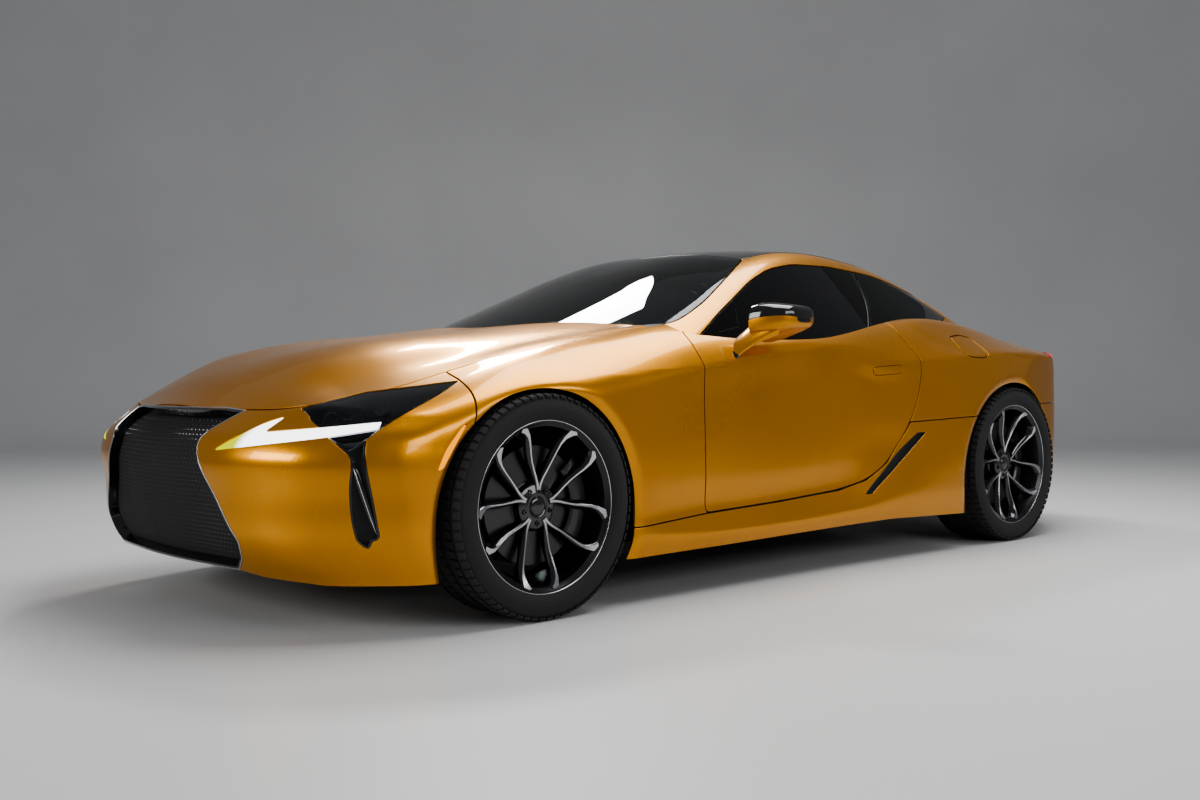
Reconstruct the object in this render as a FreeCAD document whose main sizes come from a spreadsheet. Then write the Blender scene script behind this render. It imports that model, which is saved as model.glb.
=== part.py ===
"""Coupe car: hollow panelled body, opening doors, bonnet, boot lid and fuel lid, steered and rolling wheels.

Frame: X forward, Y to the car's left, Z up, millimetres; the origin is on the ground under the middle of the car.
"""
import FreeCAD, Part
import math
import os
import re

from FreeCAD import Vector

SIZES = {
    # overall
    "overall_length": 4770, "body_width": 1920, "roof_height": 1345, "wheelbase": 2870, "front_overhang": 925,
    "ground_clearance": 160, "track_front": 1630, "track_rear": 1635,
    # panels
    "skin": 38, "side_inner": 800, "glass_thickness": 6, "frame_depth": 46, "roof_thickness": 30,
    "shut_gap": 5, "hinge_gap": 10, "nose_gap": 11, "boot_gap": 12, "cowl_drop": 10, "grille_recess": 26, "lamp_border": 14,
    "grille_depth": 18, "slat_height": 10, "slat_pitch": 46,
    # arches and wheels
    "arch_radius_front": 402, "arch_radius_rear": 387, "tyre_radius_front": 365, "tyre_radius_rear": 363,
    "tyre_width_front": 245, "tyre_width_rear": 275, "rim_radius": 281, "rim_wall": 12, "tyre_rounding": 26,
    "spoke_width": 30, "spoke_depth": 34, "spoke_splay": 15, "spoke_pairs": 5, "hub_radius": 76, "hub_length": 46,
    "arch_drop": 8, "pin_gap": 0.5, "caliper_reach": 218, "caliper_depth": 90,
    "face_inset": 16, "disc_radius": 196, "disc_thickness": 26, "disc_offset": 28, "bore_radius": 25,
    "running_fit": 0.05, "kingpin_radius": 12, "knuckle_width": 44, "knuckle_half_height": 170, "beam_length": 400,
    "tower_reach_front": 482, "tower_reach_rear": 632,
    "arm_width": 40, "arm_thickness": 26, "caliper_length": 150,
    # hinges
    "hinge_pin_radius": 6, "hinge_eye_radius": 12, "hinge_height": 40, "hinge_pin_reach": 14,
    "hinge_low": 470, "hinge_high": 700, "hinge_inset": 22, "hinge_setback": 62, "lid_pin_radius": 7,
    "lid_eye_radius": 14, "lid_arm_width": 20, "bonnet_pivot_x": 762, "bonnet_pivot_z": 935, "bonnet_pivot_y": 690,
    "boot_pivot_x": -1480, "boot_pivot_z": 945, "boot_pivot_y": 500, "gooseneck_radius": 175, "gooseneck_width": 22,
    # structure
    "floor_thickness": 40, "rail_width": 80, "rail_height": 110, "rail_offset": 400, "rail_bottom": 300,
    "engine_length": 640, "engine_width": 540, "engine_height": 480, "wheelhouse_inner": 490,
    "wheelhouse_wall": 8, "firewall_top": 800,
    "rear_wheelhouse_inner": 640, "wheelhouse_outer": 846, "wheelhouse_foot": 215, "engine_place": 960,
    "boot_floor_height": 430, "boot_half_width": 560, "mount_width": 60,
    # inside
    "seat_width": 520, "seat_length": 540, "seat_height": 180, "seat_back_height": 640, "seat_thickness": 150,
    "wheel_ring_radius": 185, "wheel_ring_section": 16, "column_radius": 20, "column_slope": 24, "column_place": 250,
    "column_level": 800,
    "seat_place": -330, "seat_offset": 370, "rear_seat_half_width": 560, "dash_half_width": 735,
    # mirrors and fuel lid
    "mirror_place": 370, "mirror_reach": 966, "mirror_level": 1010, "mirror_half_length": 104,
    "mirror_half_width": 72, "mirror_half_height": 46,
    "fuel_lid_length": 190, "fuel_lid_height": 108, "fuel_lid_thickness": 6, "fuel_recess": 24,
    "fuel_pin_radius": 3, "fuel_eye_radius": 5.5, "fuel_pin_depth": 12, "fuel_pin_setback": 9,
    "fuel_front_gap": 11, "pipe_radius": 40, "pipe_offset": 440, "pipe_height": 280,
}

doc = FreeCAD.newDocument("coupe")
sheet = doc.addObject("Spreadsheet::Sheet", "Sizes")
for row, (alias, number) in enumerate(SIZES.items(), start=1):
    sheet.set(f"A{row}", alias)
    sheet.set(f"B{row}", str(number))
    sheet.setAlias(f"B{row}", alias)
doc.recompute()


def size(alias):
    """A driving dimension, read back from the sheet."""
    return float(sheet.get(alias))


def bind(target, **formulas):
    """Ties properties of an object to formulas in the sheet's aliases; __ in a name stands for a dot."""
    for prop, formula in formulas.items():
        text = re.sub(r"\b([a-z][a-z_]*[a-z])\b", lambda m: "Sizes." + m[1] if m[1] in SIZES else m[1], formula)
        target.setExpression(prop.replace("__", "."), text)


made = []


def feature(label, shape):
    """A sub-part whose shape comes from the sheet through this script's own functions."""
    obj = doc.addObject("Part::Feature", label)
    if len(shape.Solids) == 1:
        shape = shape.Solids[0]
    obj.Shape = shape
    obj.Label = label
    made.append(obj)
    return obj


# places worked out from the driving dimensions
HALF = size("overall_length") / 2
GROW = HALF - 2385
AXLE_F = HALF - size("front_overhang")
AXLE_R = AXLE_F - size("wheelbase")
FLOOR = size("ground_clearance")
SKIN = size("skin")
GAP = size("shut_gap")
WIDER = (size("body_width") - 1920) / 2
RISE = size("roof_height") - 1345
SIDES = {"left": 1, "right": -1}


def along(x):
    """A lengthwise place: the nose and the tail follow the overall length."""
    return x + GROW * max(-1, min(1, x / 1000))


def across(y):
    """A crosswise place: the flanks follow the body width."""
    return y + WIDER * max(-1, min(1, y / 600))


def point(x, y, z):
    return Vector(along(x), across(y), z)


def arcs(points):
    """Edges of three-point arcs through a chain of points: end, way, end, way, end."""
    return [Part.Arc(*points[n:n + 3]).toShape() for n in range(0, len(points) - 2, 2)]


def box(x, y, z):
    """A block between two values on each axis."""
    low = Vector(min(x), min(y), min(z))
    high = Vector(max(x), max(y), max(z))
    return Part.makeBox(high.x - low.x, high.y - low.y, high.z - low.z, low)


def rod(radius, centre, axis, length):
    return Part.makeCylinder(radius, length, centre, axis)


def prism(corners, axis, start, end, grow=0):
    """A straight block from an outline: axis y takes (x, z) corners, axis z takes (x, y) corners."""
    if axis == "y":
        ring = [Vector(x, start, z) for x, z in corners]
        path = Vector(0, end - start, 0)
    else:
        ring = [Vector(x, y, start) for x, y in corners]
        path = Vector(0, 0, end - start)
    wire = Part.makePolygon(ring + ring[:1])
    face = Part.Face(wire)
    if grow:
        face = Part.Face(face.makeOffset2D(grow, 2).Wires[0])
    return face.extrude(path)


def mirror(shape, side):
    """The piece as made for the left side, or its mirror image for the right."""
    return shape if side > 0 else shape.mirror(Vector(), Vector(0, 1, 0))


def cut_all(shape, tools):
    for tool in tools:
        shape = shape.cut(tool)
    return shape


def largest(shape):
    """The main solid of a result, without the slivers that thin edges leave."""
    return max(shape.Solids, key=lambda solid: solid.Volume)


def fuse_all(shapes):
    return shapes[0].multiFuse(shapes[1:]).removeSplitter() if len(shapes) > 1 else shapes[0]


# outlines of the lower body seen from above, from the bottom up: the nose and tail on the centre line, then
# the left side's places from the front corner to the rear corner; heights differ along the shoulder line
PLAN_COLUMNS = ("nose", "corner", "corner_way", "wing", "wing_way", "door", "door_way", "haunch", "haunch_way",
                "quarter", "quarter_way", "tail_corner", "tail")
PLANS = [
    # bottom edge
    [(2290, 0, 160), (2230, 520, 160), (2090, 735, 160), (1880, 880, 160), (1440, 915, 160), (900, 908, 160),
     (150, 900, 160), (-600, 915, 160), (-1300, 935, 160), (-1800, 895, 160), (-2040, 765, 160),
     (-2200, 560, 160), (-2290, 0, 160)],
    # over the lip
    [(2352, 0, 290), (2302, 520, 290), (2132, 775, 290), (1890, 900, 290), (1440, 938, 290), (900, 918, 290),
     (150, 912, 290), (-600, 925, 290), (-1300, 952, 290), (-1800, 918, 290), (-2060, 795, 290),
     (-2245, 590, 290), (-2360, 0, 290)],
    # waist of the sides
    [(2385, 0, 560), (2325, 520, 560), (2150, 780, 560), (1900, 905, 560), (1440, 946, 560), (900, 918, 560),
     (150, 899, 560), (-600, 925, 560), (-1300, 958, 560), (-1800, 926, 560), (-2066, 800, 560),
     (-2262, 600, 560), (-2385, 0, 560)],
    # shoulder line
    [(2338, 0, 664), (2240, 520, 656), (2080, 740, 640), (1855, 884, 672), (1440, 936, 756), (900, 916, 800),
     (150, 905, 880), (-600, 930, 850), (-1300, 942, 882), (-1800, 892, 890), (-2010, 775, 896),
     (-2175, 590, 905), (-2290, 0, 920)],
    # above every panel
    [(2290, 0, 1160), (2190, 500, 1160), (2030, 700, 1160), (1820, 820, 1160), (1440, 850, 1160),
     (900, 790, 1160), (150, 738, 1160), (-600, 735, 1160), (-1300, 700, 1160), (-1800, 640, 1160),
     (-1960, 560, 1160), (-2080, 450, 1160), (-2200, 0, 1160)],
]

# side views of the lower body's top, from the middle outward: the height at each lengthwise place
TOP_PLACES = (2450, 2150, 1850, 1400, 700, 50, -560, -950, -1350, -1800, -2450)
TOPS = {
    0: (625, 777, 872, 944, 1003, 1030, 1050, 1050, 1030, 978, 925),
    400: (555, 728, 850, 935, 1000, 1025, 1050, 1045, 1022, 970, 915),
    700: (560, 668, 752, 882, 985, 1005, 1030, 1042, 1012, 945, 895),
    850: (450, 582, 704, 830, 908, 950, 980, 1025, 980, 916, 870),
    1000: (393, 476, 642, 730, 738, 814, 778, 812, 838, 856, 834),
}

# side views of the greenhouse, from the middle outward, as places and heights
GLASS_COLUMNS = ("foot", "screen_way", "header", "roof_way", "roof_end", "rear_way", "rear_foot")
GLASS_FOOT = 850
GLASSES = {
    0: [(1298, 850), (660, 1128), (165, 1310), (-380, 1345), (-850, 1303), (-1420, 1115), (-1990, 850)],
    350: [(1250, 850), (600, 1125), (148, 1300), (-380, 1334), (-840, 1290), (-1390, 1105), (-1960, 850)],
    620: [(1143, 850), (500, 1100), (75, 1262), (-320, 1303), (-700, 1264), (-1200, 1108), (-1850, 850)],
    830: [(960, 850), (420, 1060), (0, 1200), (-320, 1240), (-640, 1200), (-1080, 1060), (-1700, 850)],
}
GLASS_LEAN = 0.76
GLASS_SIDE = [(1350, 770), (-150, 930), (-2150, 650)]


def plan_wire(points, inset):
    """A closed outline seen from above, moved inward by the inset."""
    moved = []
    for column, (x, y, z) in zip(PLAN_COLUMNS, points):
        share = {"nose": (1, 0), "tail": (1, 0), "corner": (0.95, 0.3), "tail_corner": (0.85, 0.5),
                 "corner_way": (0.6, 0.8), "quarter_way": (0.6, 0.8)}.get(column, (0, 1))
        direction = 1 if x > 0 else -1
        moved.append(point(x - direction * inset * share[0], max(0, y - inset * share[1]), z))
    flipped = [Vector(p.x, -p.y, p.z) for p in moved]
    left = moved[1:-1]
    right = flipped[1:-1][::-1]
    edges = [Part.Arc(right[-1], moved[0], left[0]).toShape()] + arcs(left)
    edges += [Part.Arc(left[-1], moved[-1], right[0]).toShape()] + arcs(right)
    return Part.Wire(edges)


def lower_body(inset):
    """The closed form of the body below the glass."""
    flank = Part.makeLoft([plan_wire(points, inset) for points in PLANS], True, True)
    rows = sorted([(-y, zs) for y, zs in TOPS.items() if y] + list(TOPS.items()))
    wires = []
    for y, heights in rows:
        line = [Vector(along(x), across(y), z - inset) for x, z in zip(TOP_PLACES, heights)]
        low_front = Vector(line[0].x, line[0].y, 60)
        low_rear = Vector(line[-1].x, line[-1].y, 60)
        edges = arcs(line) + [Part.makeLine(line[-1], low_rear), Part.makeLine(low_rear, low_front),
                              Part.makeLine(low_front, line[0])]
        wires.append(Part.Wire(edges))
    return flank.common(Part.makeLoft(wires, True, True))


def greenhouse(inset):
    """The closed form of roof and glass above the lower body."""
    outlines = []
    for z in (GLASS_FOOT, size("roof_height")):
        lean = GLASS_LEAN * (z - GLASS_FOOT)
        side = [Vector(along(x), across(y) - lean - inset * 1.25, z) for x, y in GLASS_SIDE]
        other = [Vector(p.x, -p.y, p.z) for p in side[::-1]]
        outlines.append(Part.Wire([Part.Arc(*side).toShape(), Part.makeLine(side[-1], other[0]),
                                   Part.Arc(*other).toShape(), Part.makeLine(other[-1], side[0])]))
    flank = Part.makeLoft(outlines, True, True)
    rows = sorted([(-y, line) for y, line in GLASSES.items() if y] + list(GLASSES.items()))
    wires = []
    for y, line in rows:
        spots = []
        for n, (x, z) in enumerate(line):
            slant = 1 if n < 2 else -1 if n > 4 else 0
            raised = z + RISE * (z - GLASS_FOOT) / (1345 - GLASS_FOOT)
            spots.append(Vector(along(x) - slant * inset * 0.42, y, raised - inset))
        wires.append(Part.Wire(arcs(spots) + [Part.makeLine(spots[-1], spots[0])]))
    return flank.common(Part.makeLoft(wires, True, True))


BODY = lower_body(0)
SHELL = BODY.cut(lower_body(SKIN))
HOUSE = greenhouse(0)
PANE = HOUSE.cut(greenhouse(size("glass_thickness")))
FRAME = HOUSE.cut(greenhouse(size("frame_depth")))
REACH = 1300
SIDE_IN = size("side_inner")

# outlines of the panels: side views are (x, z), plan views (x, y), the front view (y, z)
DOOR = [(718, 1100), (718, 880), (708, 600), (703, 300), (-150, 318), (-420, 480), (-628, 677), (-604, 860),
        (-578, 960), (-578, 1100)]
SILL = [(1130, 120), (1130, 292), (703, 292), (-150, 310), (-1130, 310), (-1130, 120)]
FRONT_SPLIT = [(2500, 100), (2500, 1000), (1730, 1000), (1700, 760), (1760, 560), (1760, 100)]
REAR_WING = [(-100, 310), (AXLE_R, 310), (AXLE_R, 645), (-2500, 645), (-2500, 1200), (-560, 1200), (-560, 700)]
REAR_BUMPER = [(AXLE_R, 100), (AXLE_R, 645), (-2500, 645), (-2500, 100)]
HEADLAMP = [(2420, 540), (2420, 606), (2230, 676), (2129, 708), (1900, 756), (1664, 806), (1664, 765),
            (1850, 700), (1960, 640), (2120, 592), (2290, 540)]
TAIL_LAMP = [(-1960, 900), (-2500, 900), (-2500, 790), (-2170, 800), (-2020, 850)]
BONNET_HALF = [(2450, 0), (2450, 560), (2129, 560), (2078, 620), (1856, 690), (1396, 702), (1049, 706),
               (810, 735), (914, 500), (1004, 250), (1044, 0)]
BONNET_LIP = 672
SCREEN_HALF = [(1031, 0), (991, 250), (901, 500), (800, 668), (772, 712), (700, 735), (112, 512), (150, 260), (160, 0)]
ROOF_HALF = [(160, 0), (150, 260), (112, 512), (-300, 534), (-800, 500), (-838, 260), (-850, 0)]
REAR_GLASS_HALF = [(-850, 0), (-838, 260), (-800, 500), (-1500, 590), (-1575, 590), (-1636, 400), (-1678, 200),
                   (-1693, 0)]
COWL_HALF = [(560, 0), (560, 735), (742, 735), (742, 668), (800, 668), (902, 500), (992, 250), (1032, 0)]
BOOT_HALF = [(-1733, 0), (-1716, 200), (-1668, 400), (-1605, 600), (-1980, 620), (-2110, 525), (-2500, 525),
             (-2500, 0)]
REAR_COWL_HALF = [(-1620, 0), (-1606, 200), (-1562, 400), (-1500, 590), (-1760, 590), (-1760, 0)]
CABIN_HALF = [(3000, 0), (3000, 730), (-560, 730), (-1000, 690), (-1430, 600), (-1500, 590), (-1500, 0)]
BOOT_LIP = 650
DOOR_GLASS = [(700, 860), (694, 900), (209, 1162), (30, 1226), (-131, 1250), (-300, 1248), (-481, 1228),
              (-369, 940), (-369, 860)]
QUARTER_GLASS = [(-486, 1228), (-374, 940), (-374, 900), (-600, 900), (-612, 962), (-844, 1048), (-1011, 1132),
                 (-760, 1190)]
CENTRE_PILLAR = [(-486, 1240), (-374, 900), (-446, 900), (-556, 1226)]
GRILLE = [(-400, 668), (400, 668), (272, 575), (330, 480), (515, 300), (540, 212), (-540, 212), (-515, 300),
          (-330, 480), (-272, 575)]


def whole(half):
    """A plan outline that is the same on both sides."""
    return half + [(x, -y) for x, y in half[::-1] if y]


def moved(outline):
    """An outline's places stretched with the car's length."""
    return [(along(x), z) for x, z in outline]


def side_prism(outline, start, grow=0):
    return prism(moved(outline), "y", start, REACH, grow)


def plan_prism(half, low, high, grow=0):
    return prism(moved(whole(half)), "z", low, high, grow)


def wheel_opening(axle, radius, centre_height, start):
    return rod(radius, Vector(axle, start, centre_height), Vector(0, 1, 0), REACH - start)


ARCH_FRONT = wheel_opening(AXLE_F, size("arch_radius_front"), size("tyre_radius_front") - size("arch_drop"),
                           size("wheelhouse_inner"))
ARCH_REAR = wheel_opening(AXLE_R, size("arch_radius_rear"), size("tyre_radius_rear") - size("arch_drop"),
                          size("rear_wheelhouse_inner"))
BONNET_CUT = plan_prism(BONNET_HALF, BONNET_LIP - GAP, REACH, size("nose_gap"))
BOOT_CUT = plan_prism(BOOT_HALF, BOOT_LIP - GAP, REACH, size("boot_gap"))
LEFT = box((-3000, 3000), (0, REACH), (0, 1500))

# door hinge axis, on the left
HINGE_X = along(706) - size("hinge_setback")
HINGE_Y = across(913) - size("hinge_inset")
HINGE_HALF = size("hinge_height") / 2
PIN = size("hinge_pin_radius")
EYE = size("hinge_eye_radius")
FIT = size("running_fit")
HINGES = (size("hinge_low"), size("hinge_high"))


def door():
    """The left door: a full-depth leaf, notched at its hinges and bored for their pins."""
    leaf = BODY.common(side_prism(DOOR, SIDE_IN))
    for z in HINGES:
        half = HINGE_HALF + GAP
        notch = box((HINGE_X - EYE - 10, HINGE_X + 200), (0, HINGE_Y + EYE + 1.5), (z - half, z + half))
        reach = half + size("hinge_pin_reach") + 1
        bore = rod(PIN + FIT, Vector(HINGE_X, HINGE_Y, z - reach), Vector(0, 0, 1), 2 * reach)
        leaf = leaf.cut(notch).cut(bore)
    return leaf


def hinge_pillar():
    """The left hinge pillar behind the wing, with the two fixed hinge leaves and their pins."""
    front = along(745)
    post = BODY.cut(SHELL).common(box((front, front + 90), (SIDE_IN - 40, REACH), (292, 880)))
    pieces = [post]
    inner = HINGE_Y - 112
    for z in HINGES:
        low, high = z - HINGE_HALF, z + HINGE_HALF
        reach = HINGE_HALF + GAP + size("hinge_pin_reach")
        pieces.append(rod(EYE, Vector(HINGE_X, HINGE_Y, low), Vector(0, 0, 1), high - low))
        pieces.append(rod(PIN, Vector(HINGE_X, HINGE_Y, z - reach), Vector(0, 0, 1), 2 * reach))
        pieces.append(box((HINGE_X - 6, HINGE_X + 6), (inner - 6, HINGE_Y), (low, high)))
        pieces.append(box((HINGE_X - 6, front + 30), (inner - 6, inner + 6), (low, high)))
    return fuse_all(pieces)


def wing():
    """The left front wing, from the door to the bumper and in to the bonnet's edge."""
    panel = SHELL.common(box((along(718) + size("hinge_gap"), 3000), (0, REACH), (292, REACH)))
    bonnet_edge = plan_prism(BONNET_HALF, 0, REACH, GAP)
    clear = box((0, along(838)), (0, 738), (0, REACH))
    return cut_all(panel, [bonnet_edge, side_prism(FRONT_SPLIT, 0), side_prism(HEADLAMP, 0), ARCH_FRONT, clear,
                           box((-3000, 3000), (-REACH, 668), (0, REACH))])


def front_bumper():
    panel = SHELL.common(prism(moved(FRONT_SPLIT), "y", -REACH, REACH))
    arch = ARCH_FRONT.fuse(mirror(ARCH_FRONT, -1))
    lamps = side_prism(HEADLAMP, 330).cut(prism_x(GRILLE, 1900, 2600, size("lamp_border")))
    hole = prism_x(GRILLE, 1900, 2600)
    inner = box((-3000, 2600), (-1300, 1300), (-10, 1000)).common(BONNET_CUT)
    return largest(cut_all(panel, [arch, lamps, mirror(lamps, -1), hole, inner]))


def prism_x(corners, start, end, grow=0):
    """A straight block along the car from a front view of (y, z) corners."""
    ring = [Vector(start, y, z) for y, z in corners]
    face = Part.Face(Part.makePolygon(ring + ring[:1]))
    if grow:
        face = Part.Face(face.makeOffset2D(grow, 2).Wires[0])
    return face.extrude(Vector(end - start, 0, 0))


def grille():
    """A recessed plate of the nose's own curve with level slats, inside the bumper's opening."""
    back = size("grille_recess")
    nose = BODY.common(prism_x(GRILLE, 1900, 2600))

    def layer(start, depth):
        return nose.translated(Vector(-start, 0, 0)).cut(nose.translated(Vector(-start - depth, 0, 0)))

    plate = layer(back + 12, size("grille_depth")).common(box((1950, 2600), (-REACH, REACH), (0, 1000)))
    slats = layer(back, 14)
    bars = []
    z = 240
    while z < 640:
        bars.append(slats.common(box((1950, 2600), (-REACH, REACH), (z, z + size("slat_height")))))
        z += size("slat_pitch")
    return fuse_all([plate] + bars)


def headlamp():
    lens = SHELL.common(side_prism(HEADLAMP, 330)).cut(BONNET_CUT)
    return largest(lens.cut(prism_x(GRILLE, 1900, 2600, size("lamp_border"))))


def bonnet():
    """The bonnet skin with its two hinge arms."""
    panel = SHELL.common(plan_prism(BONNET_HALF, BONNET_LIP, REACH))
    x, z, y = along(size("bonnet_pivot_x")), size("bonnet_pivot_z"), size("bonnet_pivot_y")
    eye, wide = size("lid_eye_radius"), size("lid_arm_width")
    for side in (1, -1):
        low = side * (y - wide / 2)
        high = side * (y + wide / 2)
        arm = prism([(x, z + eye - 1), (x, z - eye + 1), (x + 90, z - 20), (x + 190, z - 20), (x + 190, z + 14),
                     (x + 60, z + 14)], "y", low, high)
        barrel = rod(eye, Vector(x, low, z), Vector(0, side, 0), wide)
        arm = arm.fuse(barrel).common(BODY)
        bore = rod(size("lid_pin_radius") + FIT, Vector(x, side * (y - 60), z), Vector(0, side, 0), 120)
        panel = panel.fuse(arm).cut(bore)
    return panel.removeSplitter()


def cowl():
    """The scuttle below the windscreen, lower than the bonnet, with a pin for each bonnet arm."""
    drop = size("cowl_drop")
    deep = BODY.translated(Vector(0, 0, -drop)).cut(BODY.translated(Vector(0, 0, -drop - 40)))
    panel = deep.common(plan_prism(COWL_HALF, 700, REACH))
    under = BODY.translated(Vector(0, 0, -drop - 20))
    panel = panel.fuse(under.common(box((700, 716), (-730, 730), (size("firewall_top"), REACH))))
    x, z, y = along(size("bonnet_pivot_x")), size("bonnet_pivot_z"), size("bonnet_pivot_y")
    wide = size("lid_arm_width")
    for side in (1, -1):
        inner = y - wide / 2 - 3
        lug = box((x - 16, x + 20), (side * (inner - 24), side * inner), (z - 40, z + 12))
        pin = rod(size("lid_pin_radius"), Vector(x, side * (inner - 20), z), Vector(0, side, 0), wide + 26)
        panel = panel.fuse(lug).fuse(pin)
    return panel.removeSplitter()


def boot_lid():
    """The boot lid with its two goosenecks, which swing out round the panel ahead of it."""
    panel = SHELL.common(plan_prism(BOOT_HALF, BOOT_LIP, REACH))
    x, z, y = along(size("boot_pivot_x")), size("boot_pivot_z"), size("boot_pivot_y")
    inner, wide = size("gooseneck_radius"), size("gooseneck_width")
    eye, pin = size("lid_eye_radius"), size("lid_pin_radius")
    for side in (1, -1):
        base = Vector(x, side * (y - 10), z)
        ring = rod(inner + wide, base, Vector(0, side, 0), 20).cut(rod(inner, base, Vector(0, side, 0), 20))
        keep = box((x - 400, x - 1), (-REACH, REACH), (z - 300, z + 16))
        stem = box((x - 1 - wide, x - 1), (side * (y - 10), side * (y + 10)), (z - inner - wide / 2, z))
        hub = rod(eye, base, Vector(0, side, 0), 20)
        arm = ring.common(keep).fuse(stem).fuse(hub)
        bore = rod(pin + FIT, Vector(x, side * (y - 60), z), Vector(0, side, 0), 120)
        panel = panel.fuse(arm).cut(bore)
    return panel.removeSplitter()


def rear_shelf():
    """The shelf under the rear glass, which carries the boot lid's pins."""
    x, z, y = along(size("boot_pivot_x")), size("boot_pivot_z"), size("boot_pivot_y")
    pieces = [box((along(-1020), along(-1500)), (-460, 460), (868, 886))]
    for side in (1, -1):
        pieces.append(box((x - 16, x + 16), (side * 440, side * (y - 12)), (868, z + 14)))
        pieces.append(rod(size("lid_pin_radius"), Vector(x, side * (y - 20), z), Vector(0, side, 0), 34))
    return fuse_all(pieces)


def rear_cowl():
    """The body panel between the rear glass and the boot lid."""
    return SHELL.common(plan_prism(REAR_COWL_HALF, 800, REACH)).cut(BOOT_CUT)


def rear_wing():
    """The left rear wing: haunch, sill end and deck side, full depth beside the cabin."""
    region = side_prism(REAR_WING, 0)
    skin = SHELL.common(region)
    wall = BODY.common(region).common(box((along(-1040), along(-100)), (SIDE_IN, REACH), (300, REACH)))
    panel = skin.fuse(wall)
    middle = box((-3000, 3000), (0, 532), (0, REACH))
    panel = cut_all(panel, [side_prism(DOOR, 0, GAP), ARCH_REAR, BOOT_CUT, plan_prism(CABIN_HALF, 0, REACH),
                            middle, side_prism(TAIL_LAMP, 0), plan_prism(REAR_COWL_HALF, 800, REACH)])
    return largest(panel)


def sill():
    """The left sill below the door, full depth, between the wheel arches, with the hinge pillar on it."""
    rocker = cut_all(BODY.common(side_prism(SILL, SIDE_IN - 10)), [ARCH_FRONT, ARCH_REAR])
    return rocker.fuse(hinge_pillar()).removeSplitter()


def rear_bumper():
    panel = SHELL.common(prism(moved(REAR_BUMPER), "y", -REACH, REACH))
    arch = ARCH_REAR.fuse(mirror(ARCH_REAR, -1))
    holes = [rod(size("pipe_radius") + GAP, Vector(-3000, side * size("pipe_offset"), size("pipe_height")),
                 Vector(1, 0, 0), 1500) for side in (1, -1)]
    return cut_all(panel, [arch, box((-3000, along(-1600)), (-380, 380), (0, 262))] + holes)


def diffuser():
    """The ribbed panel under the middle of the rear bumper."""
    plate = SHELL.common(box((-3000, along(-1600)), (-380, 380), (0, 262)))
    return plate


def side_frame():
    """The left A-pillar, roof rail, centre pillar and C-pillar."""
    sides = FRAME.common(LEFT)
    openings = [plan_prism(SCREEN_HALF, 800, 1500), plan_prism(ROOF_HALF, 800, 1500),
                plan_prism(REAR_GLASS_HALF, 800, 1500), side_prism(DOOR_GLASS, 0, GAP),
                side_prism(QUARTER_GLASS, 0), BODY]
    sides = cut_all(sides, openings)
    pillar = FRAME.cut(PANE).common(side_prism(CENTRE_PILLAR, 200)).cut(BODY)
    sides = sides.fuse(pillar)
    over_door = BODY.translated(Vector(0, 0, GAP)).common(side_prism(DOOR, 0, GAP))
    return largest(sides.cut(over_door))


FUEL_NORMAL = Vector(0, 0.80, 0.60)
FUEL_UP = Vector(0, -0.60, 0.80)
FUEL_SPOT = point(-1083, 911, 921)


def fuel_block(front, rear, half_height, inner, outer):
    """A block laid on the haunch: lengths forward and rearward of the lid's middle, and depths outward."""
    turn = FreeCAD.Rotation(Vector(1, 0, 0), FUEL_UP * -1, FUEL_NORMAL, "XYZ")
    piece = Part.makeBox(front + rear, 2 * half_height, outer - inner)
    offset = turn.multVec(Vector(-rear, -half_height, inner))
    piece.Placement = FreeCAD.Placement(FUEL_SPOT + offset, turn)
    return piece


def fuel_pin_start(half):
    """The fuel pin's lower end, a half length below its middle."""
    forward = size("fuel_lid_length") / 2 - size("fuel_pin_setback")
    return FUEL_SPOT + Vector(forward, 0, 0) - FUEL_NORMAL * size("fuel_pin_depth") - FUEL_UP * half


def fuel_lid():
    """The left fuel lid with its hinge eye."""
    half, high = size("fuel_lid_length") / 2, size("fuel_lid_height") / 2
    local = BODY.common(fuel_block(half + 60, half + 60, high + 60, -60, 60))
    skin = local.cut(local.translated(FUEL_NORMAL * -size("fuel_lid_thickness")))
    plate = skin.common(fuel_block(half, half, high, -40, 60))
    eye, pin = size("fuel_eye_radius"), size("fuel_pin_radius")
    long = 36
    barrel = rod(eye, fuel_pin_start(long / 2), FUEL_UP, long)
    forward = half - size("fuel_pin_setback")
    web = fuel_block(forward + 3, 3 - forward, long / 2, -size("fuel_pin_depth"), -3)
    solid = plate.fuse(barrel).fuse(web)
    return solid.cut(rod(pin + FIT, fuel_pin_start(long), FUEL_UP, 2 * long)).removeSplitter()


def fuel_recess():
    half, high = size("fuel_lid_length") / 2, size("fuel_lid_height") / 2
    return fuel_block(half + size("fuel_front_gap"), half + GAP, high + GAP, -size("fuel_recess"), 60)


def fuel_pin():
    reach = size("fuel_lid_height") / 2 + GAP + 4
    return rod(size("fuel_pin_radius"), fuel_pin_start(reach), FUEL_UP, 2 * reach)


def mirror_head():
    """The left mirror: a rounded head on a slanted arm from the door's shoulder."""
    head = Part.makeSphere(100)
    scale = FreeCAD.Matrix()
    scale.scale(size("mirror_half_length") / 100, size("mirror_half_width") / 100, size("mirror_half_height") / 100)
    head = head.transformGeometry(scale)
    head.translate(Vector(along(size("mirror_place")), across(size("mirror_reach")), size("mirror_level")))
    arm = prism(moved([(580, 850), (490, 850), (380, 985), (440, 1005)]), "y", across(880), across(924))
    return head.fuse(arm).cut(BODY).removeSplitter()


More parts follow.
